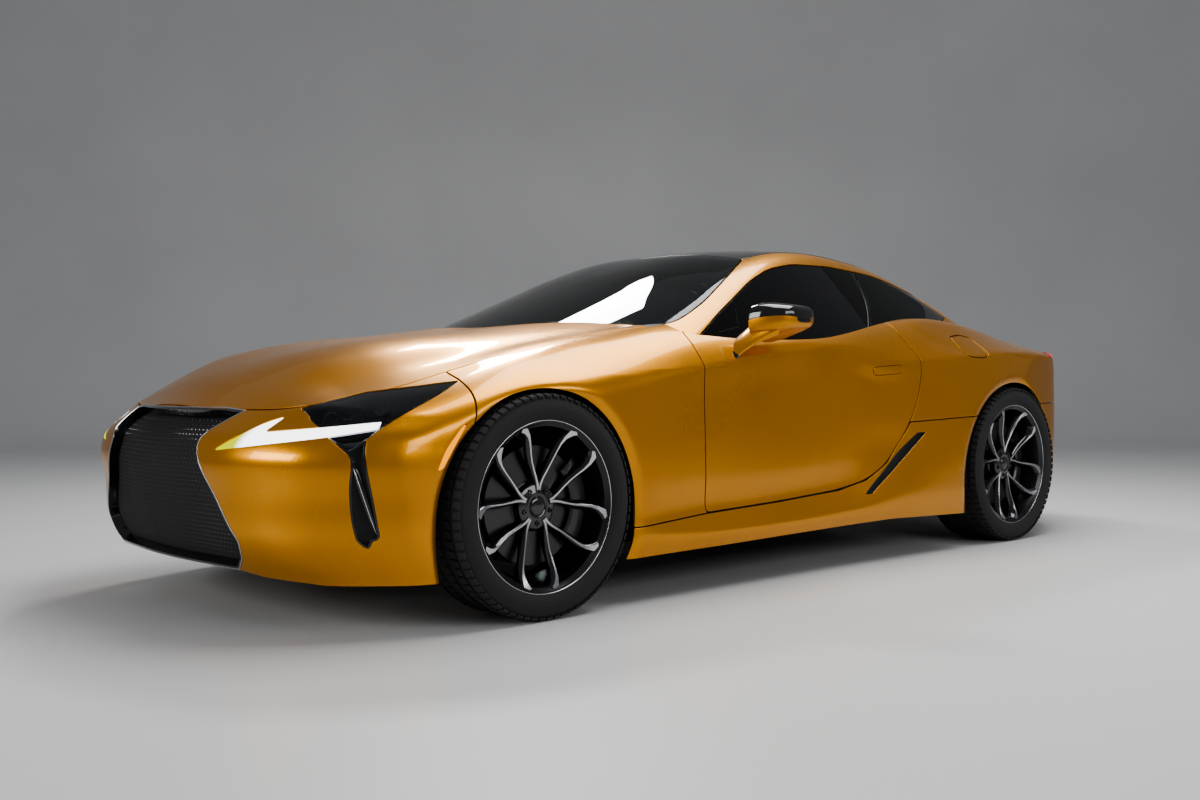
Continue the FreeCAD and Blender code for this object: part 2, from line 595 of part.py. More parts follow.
made_house = {
    "windscreen": lambda: PANE.common(plan_prism(SCREEN_HALF, 800, 1500)).cut(
        BODY.translated(Vector(0, 0, -size("cowl_drop")))).cut(
        box((along(745), along(850)), (655, 900), (0, REACH))).cut(
        box((along(745), along(850)), (-900, -655), (0, REACH))),
    "roof": lambda: HOUSE.cut(greenhouse(size("roof_thickness"))).common(plan_prism(ROOF_HALF, 800, 1500)),
    "rear_glass": lambda: PANE.common(plan_prism(REAR_GLASS_HALF, 800, 1500)).cut(BODY),
}
for label, make in made_house.items():
    feature(label, make())
for label, make in (("front_bumper", front_bumper), ("grille", grille), ("bonnet", bonnet), ("cowl", cowl),
                    ("boot_lid", boot_lid), ("rear_shelf", rear_shelf), ("rear_cowl", rear_cowl),
                    ("rear_bumper", rear_bumper), ("diffuser", diffuser)):
    feature(label, make())
left_pieces = {
    "door": door(),
    "door_glass": PANE.common(side_prism(DOOR_GLASS, 200)).cut(BODY),
    "quarter_glass": PANE.common(side_prism(QUARTER_GLASS, 200)).cut(BODY).cut(
        BODY.translated(Vector(0, 0, GAP)).common(side_prism(DOOR, 0, GAP))),
    "front_wing": wing(),
    "rear_wing": rear_wing(),
    "sill": sill(),
    "headlamp": headlamp(),
    "tail_lamp": largest(SHELL.common(side_prism(TAIL_LAMP, 532)).cut(BOOT_CUT)),
    "side_frame": side_frame(),
    "mirror": mirror_head(),
}
for name, shape in left_pieces.items():
    for side_name, side in SIDES.items():
        feature(f"{name}_{side_name}", mirror(shape, side))
wing_with_lid = made[[obj.Label for obj in made].index("rear_wing_left")]
wing_with_lid.Shape = wing_with_lid.Shape.cut(fuel_recess()).fuse(fuel_pin().common(BODY)).Solids[0]
feature("fuel_lid", fuel_lid())

# formulas for the axles, in the sheet's names
FRONT_AXLE = "(overall_length / 2 - front_overhang)"
REAR_AXLE = "(overall_length / 2 - front_overhang - wheelbase)"
UPRIGHT = FreeCAD.Placement()
ACROSS = FreeCAD.Placement(Vector(), FreeCAD.Rotation(Vector(1, 0, 0), -90))
ALONG = FreeCAD.Placement(Vector(), FreeCAD.Rotation(Vector(0, 1, 0), 90))
TURNS = {"x": ALONG, "y": ACROSS, "z": UPRIGHT}


def block(name, lengths, low):
    """A box from formulas: its three lengths and its lowest corner."""
    obj = doc.addObject("Part::Box", name)
    bind(obj, Length=lengths[0], Width=lengths[1], Height=lengths[2], Placement__Base__x=low[0],
         Placement__Base__y=low[1], Placement__Base__z=low[2])
    return obj


def drum(name, radius, height, base, axis="z"):
    """A cylinder from formulas, standing on its base and running along an axis."""
    obj = doc.addObject("Part::Cylinder", name)
    obj.Placement = TURNS[axis]
    bind(obj, Radius=radius, Height=height, Placement__Base__x=base[0], Placement__Base__y=base[1],
         Placement__Base__z=base[2])
    return obj


def minus(name, base, tool):
    obj = doc.addObject("Part::Cut", name)
    obj.Base = base
    obj.Tool = tool
    return obj


def joined(name, shapes):
    obj = doc.addObject("Part::MultiFuse", name)
    obj.Shapes = shapes
    obj.Refine = True
    return obj


def keep(obj, label):
    """Marks an object as a finished sub-part, whose label names its file."""
    obj.Label = label
    made.append(obj)
    return obj


def tyre(corner, axle, end, side):
    """A tyre as a rounded ring."""
    middle = f"{side} * track_{end} / 2"
    start = f"{middle} - tyre_width_{end} / 2"
    centre = f"tyre_radius_{end}"
    ring = drum(f"Ring_{corner}", f"tyre_radius_{end}", f"tyre_width_{end}", (axle, start, centre), "y")
    doc.recompute()
    crown = doc.addObject("Part::Fillet", f"Crown_{corner}")
    crown.Base = ring
    rounding = size("tyre_rounding")
    crown.Edges = [(1, rounding, rounding), (3, rounding, rounding)]
    hole = drum(f"Hole_{corner}", "rim_radius", f"tyre_width_{end} + 20", (axle, f"{start} - 10", centre), "y")
    return keep(minus(f"Tyre_{corner}", crown, hole), f"tyre_{corner}")


def rim(corner, axle, end, side):
    """A rim: barrel, hub with brake disc, and pairs of spokes that splay outward from the hub."""
    middle = f"{side} * track_{end} / 2"
    centre = f"tyre_radius_{end}"
    half = f"tyre_width_{end} / 2"
    start = f"{middle} - {half}"
    barrel = minus(f"Barrel_{corner}",
                   drum(f"BarrelOut_{corner}", "rim_radius", f"tyre_width_{end}", (axle, start, centre), "y"),
                   drum(f"BarrelIn_{corner}", "rim_radius - rim_wall", f"tyre_width_{end} + 20",
                        (axle, f"{start} - 10", centre), "y"))
    inner_face = f"{half} - face_inset - spoke_depth"
    low = f"{middle} + {inner_face}" if side > 0 else f"{middle} - ({half} - face_inset)"
    spokes = []
    pairs = int(size("spoke_pairs"))
    reach = size("rim_radius") - size("rim_wall") / 2
    root = size("hub_radius") * 0.8
    for pair in range(pairs):
        for lean in (1, -1):
            spoke = doc.addObject("Part::Box", f"Spoke_{corner}_{pair}_{'a' if lean > 0 else 'b'}")
            turn = math.radians(90 + 360 / pairs * pair)
            near = Vector(root * math.cos(turn + lean * 0.24), 0, root * math.sin(turn + lean * 0.24))
            splay = lean * math.radians(size("spoke_splay"))
            far = Vector(reach * math.cos(turn + splay), 0, reach * math.sin(turn + splay))
            run = far - near
            angle = math.degrees(math.atan2(run.z, run.x))
            turned = FreeCAD.Rotation(Vector(0, -1, 0), angle)
            corner_of = near + turned.multVec(Vector(0, 0, -size("spoke_width") / 2))
            spoke.Length = run.Length
            spoke.Placement = FreeCAD.Placement(Vector(), turned)
            bind(spoke, Width="spoke_depth", Height="spoke_width",
                 Placement__Base__x=f"{axle} + {corner_of.x:.4f}", Placement__Base__y=low,
                 Placement__Base__z=f"{centre} + {corner_of.z:.4f}")
            spokes.append(spoke)
    hub_low = f"{middle} + disc_offset" if side > 0 else f"{middle} - ({half} - face_inset)"
    hub_length = f"{half} - face_inset - disc_offset"
    hub = drum(f"Hub_{corner}", "hub_radius", hub_length, (axle, hub_low, centre), "y")
    disc_low = f"{middle} + disc_offset" if side > 0 else f"{middle} - disc_offset - disc_thickness"
    disc = drum(f"Disc_{corner}", "disc_radius", "disc_thickness", (axle, disc_low, centre), "y")
    bore_low = f"{middle}" if side > 0 else f"{middle} - disc_offset - hub_length"
    bore = drum(f"Bore_{corner}", "bore_radius", "disc_offset + hub_length", (axle, bore_low, centre), "y")
    solid = joined(f"RimSolid_{corner}", [barrel, hub, disc] + spokes)
    return keep(minus(f"Rim_{corner}", solid, bore), f"rim_{corner}")


def knuckle(corner, axle, end, side):
    """A knuckle: post, spindle, caliper over the disc and, in front, the two kingpin ends."""
    middle = f"{side} * track_{end} / 2"
    centre = f"tyre_radius_{end}"

    def low(inner, outer):
        """The lower Y of a stretch given outward from the wheel's middle plane."""
        return f"{middle} + ({inner})" if side > 0 else f"{middle} - ({outer})"

    post = block(f"Post_{corner}", ("knuckle_width", "knuckle_width", "2 * knuckle_half_height"),
                 (f"{axle} - knuckle_width / 2", low("0 - knuckle_width / 2", "knuckle_width / 2"),
                  f"{centre} - knuckle_half_height"))
    spindle = drum(f"Spindle_{corner}", "bore_radius - running_fit", "disc_offset + hub_length - 4",
                   (axle, low("0", "disc_offset + hub_length - 4"), centre), "y")
    bracket = block(f"Bracket_{corner}", ("caliper_reach", "24", "80"),
                    (f"{axle} - caliper_reach", low("0 - 6", "18"), f"{centre} - 40"))
    body = block(f"CaliperBody_{corner}", ("caliper_depth", "disc_offset + disc_thickness + 12 - 8", "caliper_length"),
                 (f"{axle} - caliper_reach", low("8", "disc_offset + disc_thickness + 12"),
                  f"{centre} - caliper_length / 2"))
    slot = drum(f"Slot_{corner}", "disc_radius + 5", "disc_thickness + 8",
                (axle, low("disc_offset - 4", "disc_offset + disc_thickness + 4"), centre), "y")
    caliper = minus(f"Caliper_{corner}", body, slot)
    pieces = [post, spindle, bracket, caliper]
    if end == "front":
        pieces.append(drum(f"Kingpin_{corner}", "kingpin_radius - running_fit",
                           "2 * knuckle_half_height + 2 * arm_thickness",
                           (axle, middle, f"{centre} - knuckle_half_height - arm_thickness")))
    return keep(joined(f"Knuckle_{corner}", pieces), f"knuckle_{corner}")


def subframe(end, axle):
    """A cross member with towers and, on each side, an upper and a lower arm out to the knuckle."""
    centre = f"tyre_radius_{end}"
    beam = block(f"Beam_{end}", ("beam_length", f"2 * tower_reach_{end}", "60"),
                 (f"{axle} - beam_length / 2", f"0 - tower_reach_{end}", f"{centre} - knuckle_half_height - 20"))
    pieces = [beam]
    holes = []
    for side_name, side in SIDES.items():
        tag = f"{end}_{side_name}"
        tower_low = f"tower_reach_{end} - 40" if side > 0 else f"0 - tower_reach_{end}"
        pieces.append(block(f"Tower_{tag}", ("60", "40", "2 * knuckle_half_height + arm_thickness + 80"),
                            (f"{axle} - 30", tower_low, f"{centre} - knuckle_half_height - 20")))
        inner = f"tower_reach_{end} - 20"
        outer = f"track_{end} / 2" if end == "front" else f"track_{end} / 2 - knuckle_width / 2"
        for level, z in (("low", f"{centre} - knuckle_half_height - arm_thickness - pin_gap"),
                         ("high", f"{centre} + knuckle_half_height + pin_gap")):
            if end == "rear":
                z = f"{centre} - knuckle_half_height" if level == "low" else f"{centre} + knuckle_half_height - arm_thickness"
            arm_low = inner if side > 0 else f"0 - ({outer})"
            pieces.append(block(f"Arm_{level}_{tag}", ("arm_width", f"{outer} - ({inner})", "arm_thickness"),
                                (f"{axle} - arm_width / 2", arm_low, z)))
            if end == "front":
                middle = f"{side} * track_front / 2"
                pieces.append(drum(f"Eye_{level}_{tag}", "arm_width / 2", "arm_thickness", (axle, middle, z)))
                holes.append(drum(f"PinHole_{level}_{tag}", "kingpin_radius", "arm_thickness + 20",
                                  (axle, middle, f"{z} - 10")))
        mount_low = "rail_offset - rail_width + 10" if side > 0 else "0 - rail_offset + 10"
        rail_base = "rail_bottom" if end == "front" else "(boot_floor_height - 80)"
        beam_top = f"({centre} - knuckle_half_height + 40)"
        pieces.append(block(f"Mount_{tag}", ("mount_width", "mount_width", f"{rail_base} - {beam_top}"),
                            (f"{axle} - mount_width / 2", mount_low, beam_top)))
        if end == "front":
            foot_low = "engine_width / 2 - mount_width" if side > 0 else "0 - engine_width / 2"
            pieces.append(block(f"EngineFoot_{tag}", ("mount_width", "mount_width", f"{rail_base} - {beam_top}"),
                                (f"{axle} - mount_width", foot_low, beam_top)))
    solid = joined(f"Frame_{end}", pieces)
    if holes:
        solid = minus(f"BoredFrame_{end}", solid, joined(f"PinHoles_{end}", holes))
    return keep(solid, f"{end}_subframe")


for end, axle in (("front", FRONT_AXLE), ("rear", REAR_AXLE)):
    for side_name, side in SIDES.items():
        corner = f"{end}_{side_name}"
        tyre(corner, axle, end, side)
        rim(corner, axle, end, side)
        knuckle(corner, axle, end, side)
    subframe(end, axle)

# the underbody: floor, tunnel, bulkheads, rails and boot floor in one pressed and welded piece
FLOOR_TOP = "(ground_clearance + floor_thickness)"
floor = [
    block("Floor", ("2050", "2 * (side_inner - 10)", "floor_thickness"),
          ("0 - 1020", "0 - (side_inner - 10)", "ground_clearance")),
    block("Tunnel", ("1170", "220", "150"), ("0 - 450", "0 - 110", "ground_clearance")),
    block("Firewall", ("16", "1460", "firewall_top - ground_clearance"), ("700", "0 - 730", "ground_clearance")),
    block("RearBulkhead", ("16", "1240", "708"), ("0 - 1020", "0 - 620", "ground_clearance")),
    block("BootFloor", ("1130", "2 * boot_half_width", "16"), ("0 - 2150", "0 - boot_half_width", "boot_floor_height")),
    block("TailPanel", ("16", "2 * boot_half_width", "180"), ("0 - 2166", "0 - boot_half_width", "boot_floor_height")),
]
for side_name, side in SIDES.items():
    rail_low = "rail_offset - rail_width" if side > 0 else "0 - rail_offset"
    floor.append(block(f"FrontRail_{side_name}", ("1300", "rail_width", "rail_height"), ("716", rail_low, "rail_bottom")))
    floor.append(block(f"RearRail_{side_name}", ("1210", "rail_width", "80"),
                       ("0 - 2230", rail_low, "boot_floor_height - 80")))
keep(joined("UnderbodySolid", floor), "underbody")


def wheelhouse(end, axle, side_name, side):
    """The inner arch over a wheel: part of a ring closed by a wall on the inner side."""
    tag = f"{end}_{side_name}"
    centre = f"tyre_radius_{end} - arch_drop"
    inner = f"tower_reach_{end}"
    depth = f"wheelhouse_outer - {inner}"
    start = inner if side > 0 else "0 - wheelhouse_outer"
    hollow_start = f"{inner} + wheelhouse_wall" if side > 0 else "0 - wheelhouse_outer - 10"
    shell = drum(f"House_{tag}", f"arch_radius_{end} + wheelhouse_wall", depth, (axle, start, centre), "y")
    hollow = drum(f"HouseIn_{tag}", f"arch_radius_{end}", f"{depth} - wheelhouse_wall + 10",
                  (axle, hollow_start, centre), "y")
    ring = minus(f"HouseRing_{tag}", shell, hollow)
    lower = block(f"HouseBase_{tag}", ("1200", "900", "700"),
                  (f"{axle} - 600", "0" if side > 0 else "0 - 900", f"{centre} + wheelhouse_foot - 700"))
    return minus(f"Wheelhouse_{tag}", ring, lower)


for end, axle in (("front", FRONT_AXLE), ("rear", REAR_AXLE)):
    pair = doc.addObject("Part::Compound", f"Wheelhouses_{end}")
    pair.Links = [wheelhouse(end, axle, side_name, side) for side_name, side in SIDES.items()]
    keep(pair, f"{end}_wheelhouses")

keep(block("EngineBlock", ("engine_length", "engine_width", "engine_height"),
           ("engine_place", "0 - engine_width / 2", "rail_bottom")), "engine")


def seat(name, low_y, width):
    """A front seat: base, back and headrest in one plain solid."""
    base = block(f"Base_{name}", ("seat_length", width, "seat_height"), ("seat_place", low_y, f"{FLOOR_TOP}"))
    back = block(f"Back_{name}", ("seat_thickness", width, "seat_back_height"),
                 ("seat_place - seat_thickness + 20", low_y, f"{FLOOR_TOP} + 60"))
    return keep(joined(f"Seat_{name}", [base, back]), f"front_seat_{name}")


seat("left", "seat_offset - seat_width / 2", "seat_width")
seat("right", "0 - seat_offset - seat_width / 2", "seat_width")
rear_base = block("RearBase", ("400", "2 * rear_seat_half_width", "150"),
                  ("0 - 880", "0 - rear_seat_half_width", f"{FLOOR_TOP} + 100"))
rear_plinth = block("RearPlinth", ("370", "2 * rear_seat_half_width", "100"),
                    ("0 - 860", "0 - rear_seat_half_width", FLOOR_TOP))
rear_back = block("RearBack", ("130", "2 * rear_seat_half_width", "520"),
                  ("0 - 1004", "0 - rear_seat_half_width", f"{FLOOR_TOP} + 130"))
keep(joined("RearSeats", [rear_base, rear_plinth, rear_back]), "rear_seats")
keep(block("Console", ("820", "200", "190"), ("0 - 360", "0 - 100", "ground_clearance + 150")), "centre_console")

dash = block("Dash", ("320", "2 * dash_half_width", "260"), ("380", "0 - dash_half_width", "635"))
dash_lower = block("DashLower", ("150", "420", "330"), ("550", "0 - 210", "310"))
dash_solid = joined("DashSolid", [dash, dash_lower])
COLUMN = FreeCAD.Rotation(Vector(0, 1, 0), 90 + size("column_slope"))


def column_drum(name, radius, height, start):
    """A cylinder on the steering column's slanted axis, from a distance ahead of the wheel's middle."""
    obj = doc.addObject("Part::Cylinder", name)
    obj.Placement = FreeCAD.Placement(Vector(), COLUMN)
    bind(obj, Radius=radius, Height=height, Placement__Base__x=f"column_place + ({start}) * cos(column_slope * 1 deg)",
         Placement__Base__y="seat_offset",
         Placement__Base__z=f"column_level - ({start}) * sin(column_slope * 1 deg)")
    return obj


ring = doc.addObject("Part::Torus", "WheelRing")
ring.Placement = FreeCAD.Placement(Vector(), COLUMN)
bind(ring, Radius1="wheel_ring_radius", Radius2="wheel_ring_section", Placement__Base__x="column_place",
     Placement__Base__y="seat_offset", Placement__Base__z="column_level")
boss = column_drum("WheelBoss", "60", "50", "0 - 10")
shaft = column_drum("WheelShaft", "column_radius", "250", "0")
arms = []
for n, turn in enumerate((0, 120, 240)):
    arm = doc.addObject("Part::Box", f"WheelArm_{n}")
    turned = COLUMN.multiply(FreeCAD.Rotation(Vector(0, 0, 1), turn + 90))
    arm.Placement = FreeCAD.Placement(Vector(), turned)
    offset = turned.multVec(Vector(0, -16, -6))
    bind(arm, Length="wheel_ring_radius", Width="32", Height="14",
         Placement__Base__x=f"column_place + {offset.x:.4f}", Placement__Base__y=f"seat_offset + {offset.y:.4f}",
         Placement__Base__z=f"column_level + {offset.z:.4f}")
    arms.append(arm)
keep(joined("SteeringSolid", [ring, boss, shaft] + arms), "steering_wheel")
socket = column_drum("ColumnSocket", "column_radius + running_fit", "300", "60")
keep(minus("DashBored", dash_solid, socket), "dashboard")
silencer = block("Silencer", ("220", "1040", "105"), ("0 - 2060", "0 - 520", "boot_floor_height - 80 - 105"))
pipes = [drum(f"Pipe_{side_name}", "pipe_radius", "290", ("0 - 2310", f"{side} * pipe_offset", "pipe_height"), "x")
         for side_name, side in SIDES.items()]
keep(joined("ExhaustSolid", [silencer] + pipes), "exhaust")

doc.recompute()
faulty = []
for obj in made:
    whole_shape = not obj.Shape.isNull() and obj.Shape.isValid()
    if "Invalid" in obj.State or "Error" in obj.State or not whole_shape:
        faulty.append(obj.Label)
if faulty:
    raise RuntimeError(f"sub-parts without a sound shape: {', '.join(faulty)}")
os.makedirs("parts", exist_ok=True)
for obj in made:
    print(obj.Label, len(obj.Shape.Solids), round(obj.Shape.Volume / 1e6, 2))
    obj.Shape.exportStep(f"parts/{obj.Label}.step")
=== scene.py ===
"""A coupe with opening doors, bonnet, boot and filler lid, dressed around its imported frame."""

import math

import bmesh
import bpy
import numpy as np
from mathutils import Matrix, Vector


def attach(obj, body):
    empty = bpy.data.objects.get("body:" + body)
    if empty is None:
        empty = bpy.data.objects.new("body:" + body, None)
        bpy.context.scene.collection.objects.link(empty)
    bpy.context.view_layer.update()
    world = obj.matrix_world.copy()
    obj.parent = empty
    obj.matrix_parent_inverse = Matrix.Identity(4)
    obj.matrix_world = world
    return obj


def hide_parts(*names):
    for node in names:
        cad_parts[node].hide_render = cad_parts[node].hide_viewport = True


bl_info = {
    "name": "Coupe dressing",
    "version": (1, 0, 0),
    "blender": (4, 5, 0),
    "location": "View3D > Sidebar > Coupe",
    "description": "Builds the panels, glass, lamps, wheels and cabin of a coupe around its frame",
    "category": "Object",
}

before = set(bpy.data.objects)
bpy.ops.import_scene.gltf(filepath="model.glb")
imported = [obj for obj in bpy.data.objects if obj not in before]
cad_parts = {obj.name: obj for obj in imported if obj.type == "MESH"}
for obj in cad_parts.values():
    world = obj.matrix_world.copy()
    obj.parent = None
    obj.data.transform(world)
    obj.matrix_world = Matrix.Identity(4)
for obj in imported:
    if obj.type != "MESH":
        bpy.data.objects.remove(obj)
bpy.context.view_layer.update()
MM = 0.001
SIDES = (("left", 1), ("right", -1))


# Curves and smooth tables

def table(text):
    """Rows of numbers from a text table."""
    return np.array([[float(word) for word in line.split()] for line in text.strip().splitlines()])


def bend(xs, ys, x):
    """A smooth curve through points, read at x; ys may hold several curves as columns."""
    xs, ys = np.asarray(xs, float), np.asarray(ys, float)
    if xs[0] > xs[-1]:
        xs, ys = xs[::-1], ys[::-1]
    gaps = np.diff(xs)
    shape = (-1,) + (1,) * (ys.ndim - 1)
    rises = np.diff(ys, axis=0) / gaps.reshape(shape)
    lean = np.empty_like(ys)
    lean[0], lean[-1] = rises[0], rises[-1]
    before, after = gaps[:-1].reshape(shape), gaps[1:].reshape(shape)
    lean[1:-1] = (after * rises[:-1] + before * rises[1:]) / (before + after)
    x = np.asarray(x, float)
    held = np.clip(x, xs[0], xs[-1])
    n = np.clip(np.searchsorted(xs, x) - 1, 0, len(xs) - 2)
    tail = (1,) * (ys.ndim - 1)
    wide = gaps[n].reshape(x.shape + tail)
    t = ((held - xs[n]) / gaps[n]).reshape(x.shape + tail)
    beyond = (x - held).reshape(x.shape + tail)
    value = ((2 * t**3 - 3 * t**2 + 1) * ys[n] + (t**3 - 2 * t**2 + t) * wide * lean[n]
             + (3 * t**2 - 2 * t**3) * ys[n + 1] + (t**3 - t**2) * wide * lean[n + 1])
    return value + beyond * np.where(beyond > 0, lean[-1], lean[0])


def across_rows(places, values, at, crease=None, sharp=0.0):
    """A smooth curve through each point's own row of places and values, read at its own place.
    One place may be a crease, where the slope jumps by the share given in sharp."""
    count = places.shape[1]
    gaps = np.diff(places, axis=1)
    rises = np.diff(values, axis=1) / gaps
    lean = np.empty_like(values)
    lean[:, 0], lean[:, -1] = rises[:, 0], rises[:, -1]
    before, after = gaps[:, :-1], gaps[:, 1:]
    lean[:, 1:-1] = (after * rises[:, :-1] + before * rises[:, 1:]) / (before + after)
    from_left, from_right = lean.copy(), lean.copy()
    if crease is not None:
        from_left[:, crease] += sharp * (rises[:, crease - 1] - lean[:, crease])
        from_right[:, crease] += sharp * (rises[:, crease] - lean[:, crease])
    n = np.clip((at[:, None] >= places).sum(1) - 1, 0, count - 2)
    row = np.arange(len(at))
    wide = gaps[row, n]
    held = np.clip(at, places[:, 0], places[:, -1])
    t = (held - places[row, n]) / wide
    value = ((2 * t**3 - 3 * t**2 + 1) * values[row, n] + (t**3 - 2 * t**2 + t) * wide * from_right[row, n]
             + (3 * t**2 - 2 * t**3) * values[row, n + 1] + (t**3 - t**2) * wide * from_left[row, n + 1])
    beyond = at - held
    return value + beyond * np.where(beyond > 0, rises[:, -1], rises[:, 0])


def rounded_max(a, b, radius):
    """The larger of two values, with their meeting rounded off."""
    share = np.maximum(radius - np.abs(a - b), 0) / radius
    return np.maximum(a, b) + share**2 * radius / 4


# The body's form, in millimetres

# The flank, station by station from nose to tail: x, then the height and half width of nine lines
# from the bottom edge up: edge, sill, scoop, lower door, waist, upper door, crease, belt, above.
FLANK = table("""
 2200 160 905 220 905 300 905 420 905 560 905 600 885 640 850 700 780 1000 600
 1900 160 872 220 886 300 896 420 900 560 900 640 884 690 850 745 780 1000 600
 1650 160 900 220 912 300 922 420 930 560 932 680 925 750 896 800 830 1000 660
 1460 160 912 220 926 300 936 420 944 560 946 690 944 770 928 840 858 1000 700
 1250 160 912 220 926 300 934 420 939 560 940 690 936 778 926 865 850 1050 690
 1060 160 912 215 927 300 926 420 928 560 928 690 924 787 919 880 860 1080 700
  860 160 908 213 925 298 912 420 916 560 916 700 914 805 916 885 868 1100 700
  700 161 908 211 924 292 904 420 908 560 909 700 908 820 914 888 871 1150 700
  450 163 908 210 923 293 899 420 903 580 903 730 902 855 910 905 877 1150 700
  150 168 908 214 923 303 895 430 898 600 897 760 897 882 906 925 880 1150 700
 -150 176 910 222 925 330 897 440 900 600 902 765 902 906 905 942 880 1150 700
 -450 172 918 228 936 350 930 450 914 600 915 740 918 850 924 952 872 1150 700
 -700 166 928 228 943 350 946 470 940 600 937 740 937 852 938 972 858 1150 700
 -950 160 936 225 948 350 953 470 954 600 953 740 950 866 943 968 848 1150 680
-1180 160 938 225 950 350 956 470 957 600 957 740 954 879 941 945 856 1150 650
-1410 160 936 225 948 350 954 470 956 600 957 740 953 887 935 932 845 1120 600
-1650 160 914 225 928 350 936 470 941 600 943 740 939 891 912 922 812 1100 560
-1900 160 858 225 872 350 879 470 884 600 886 740 884 880 866 906 770 1080 520
-2100 160 712 225 750 350 772 470 782 600 786 740 782 892 772 906 700 1060 450
-2260 160 480 225 550 350 588 470 598 600 602 740 596 892 560 908 500 1060 350
""")
CREASE = 6
CREASE_SHARPNESS = table("""
 2200 0
 1250 0.1
 1000 0.8
 -150 0.9
 -300 0.3
 -545 0.8
-1500 0.9
-1900 0.5
-2260 0.2
""")

# The top, station by station: x, then the heights at the middle, at the bonnet crease, in the
# hollow beside it, and at 705, 850 and 1000 out.
TOP = table("""
 2450 625 560 540 540 450 393
 2250 718 672 634 612 530 440
 2150 784 741 704 668 582 476
 2000 846 810 748 710 644 560
 1850 884 848 790 752 704 642
 1650 912 880 832 806 768 690
 1400 936 912 884 874 828 730
 1050 974 957 942 934 872 740
  700 1003 992 984 985 908 738
  300 1022 1014 1006 995 932 800
 -150 1037 1030 1020 1012 958 800
 -560 1050 1044 1038 1030 980 778
 -950 1050 1045 1042 1042 1016 812
-1350 1032 1030 1026 1018 988 838
-1800 980 976 966 950 920 850
-2120 958 952 940 914 878 836
-2450 956 950 930 895 870 834
""")
BONNET_CREASE = table("""
 2450 390
 2225 405
 1850 455
 1400 510
 1050 560
  700 610
  300 560
-1350 480
-2450 430
""")
TOP_OUT = (705, 850, 1000)

# The nose and the tail: height, then how far they reach at each distance out from the middle.
NOSE_OUT = (0, 250, 520, 650, 735, 800, 860, 905, 946, 1000)
NOSE = table("""
 100 2262 2250 2205 2135 2065 1985 1890 1765 1540 1000
 160 2290 2277 2230 2160 2090 2010 1915 1790 1560 1000
 225 2330 2318 2274 2206 2134 2055 1960 1840 1590 1030
 290 2352 2341 2302 2238 2170 2095 1995 1880 1620 1050
 420 2374 2362 2316 2250 2184 2112 2012 1898 1640 1050
 560 2385 2372 2325 2258 2192 2120 2020 1900 1640 1050
 610 2372 2358 2300 2228 2158 2086 1990 1870 1620 1050
 660 2340 2324 2250 2170 2090 2015 1915 1800 1570 1000
 800 2330 2310 2230 2140 2050 1970 1870 1750 1540 1000
1160 2290 2270 2190 2100 2010 1930 1830 1710 1500 1000
""")
TAIL_OUT = (0, 300, 560, 680, 765, 850, 900, 960)
TAIL = table("""
 100 2250 2230 2160 2080 1990 1860 1750 1300
 160 2280 2262 2195 2115 2030 1900 1790 1350
 290 2352 2334 2262 2175 2080 1950 1840 1400
 420 2372 2354 2282 2196 2096 1960 1850 1420
 560 2385 2366 2296 2206 2100 1965 1855 1430
 740 2362 2344 2272 2190 2090 1960 1850 1430
 870 2340 2318 2222 2140 2060 1935 1830 1400
 905 2372 2346 2236 2140 2052 1925 1820 1400
 930 2378 2350 2236 2130 2040 1915 1810 1400
1160 2378 2350 2236 2130 2040 1915 1810 1400
""")

# How wide the shoulder is rounded along the car.
SHOULDER_X = (2400, 1900, 1300, 900, 600, -600, -1100, -1900, -2400)
SHOULDER = (30, 60, 90, 60, 22, 22, 36, 24, 14)

# The wheel arches: centre in side view, then the radius of the opening by angle from straight ahead.
ARCH_ANGLES = (-50, -28, -10, 4, 31, 62, 90, 116, 138, 164, 184, 201, 212, 230)
ARCHES = {
    "front": ((1460, 357), (455, 428, 413, 406, 397, 391, 388, 387, 386, 388, 396, 409, 424, 450)),
    "rear": ((-1410, 355), (470, 450, 437, 427, 410, 398, 392, 394, 398, 404, 410, 422, 440, 470)),
}
ARCH_ROLL = 12
ARCH_ROLL_WIDTH = 44


def arch_gap(p, which):
    """How far a point is from a wheel opening's edge, in side view; below zero in the opening."""
    (x, z), radii = ARCHES[which]
    dx, dz = p[:, 0] - x, p[:, 2] - z
    angle = (np.degrees(np.arctan2(dz, dx)) + 90) % 360 - 90
    return np.hypot(dx, dz) - bend(ARCH_ANGLES, radii, np.clip(angle, -50, 230))


def flank(p):
    """How far a point lies outside the flank."""
    x, y, z = p[:, 0], np.abs(p[:, 1]), p[:, 2]
    rows = bend(FLANK[:, 0], FLANK[:, 1:], x)
    sharp = np.clip(bend(CREASE_SHARPNESS[:, 0], CREASE_SHARPNESS[:, 1], x), 0, 1)
    near = np.minimum(arch_gap(p, "front"), arch_gap(p, "rear"))
    roll = ARCH_ROLL * np.clip(1 - near / ARCH_ROLL_WIDTH, 0, 1.2) ** 2
    return y - across_rows(rows[:, 0::2], rows[:, 1::2], z, CREASE, sharp) + roll


def crease_height(p):
    """The height of the flank's crease at each point's place along the car."""
    return bend(FLANK[:, 0], FLANK[:, 2 * CREASE + 1], p[:, 0])


def top_height(x, y):
    """The height of the bonnet, shoulders and boot."""
    heights = bend(TOP[:, 0], TOP[:, 1:], x)
    crease = bend(BONNET_CREASE[:, 0], BONNET_CREASE[:, 1], x)
    places = np.stack([0 * x, crease, (crease + TOP_OUT[0]) / 2 + 5] + [0 * x + out for out in TOP_OUT], 1)
    mirrored = np.concatenate([-places[:, 1:2], places], 1)
    return across_rows(mirrored, np.concatenate([heights[:, 1:2], heights], 1), np.abs(y))


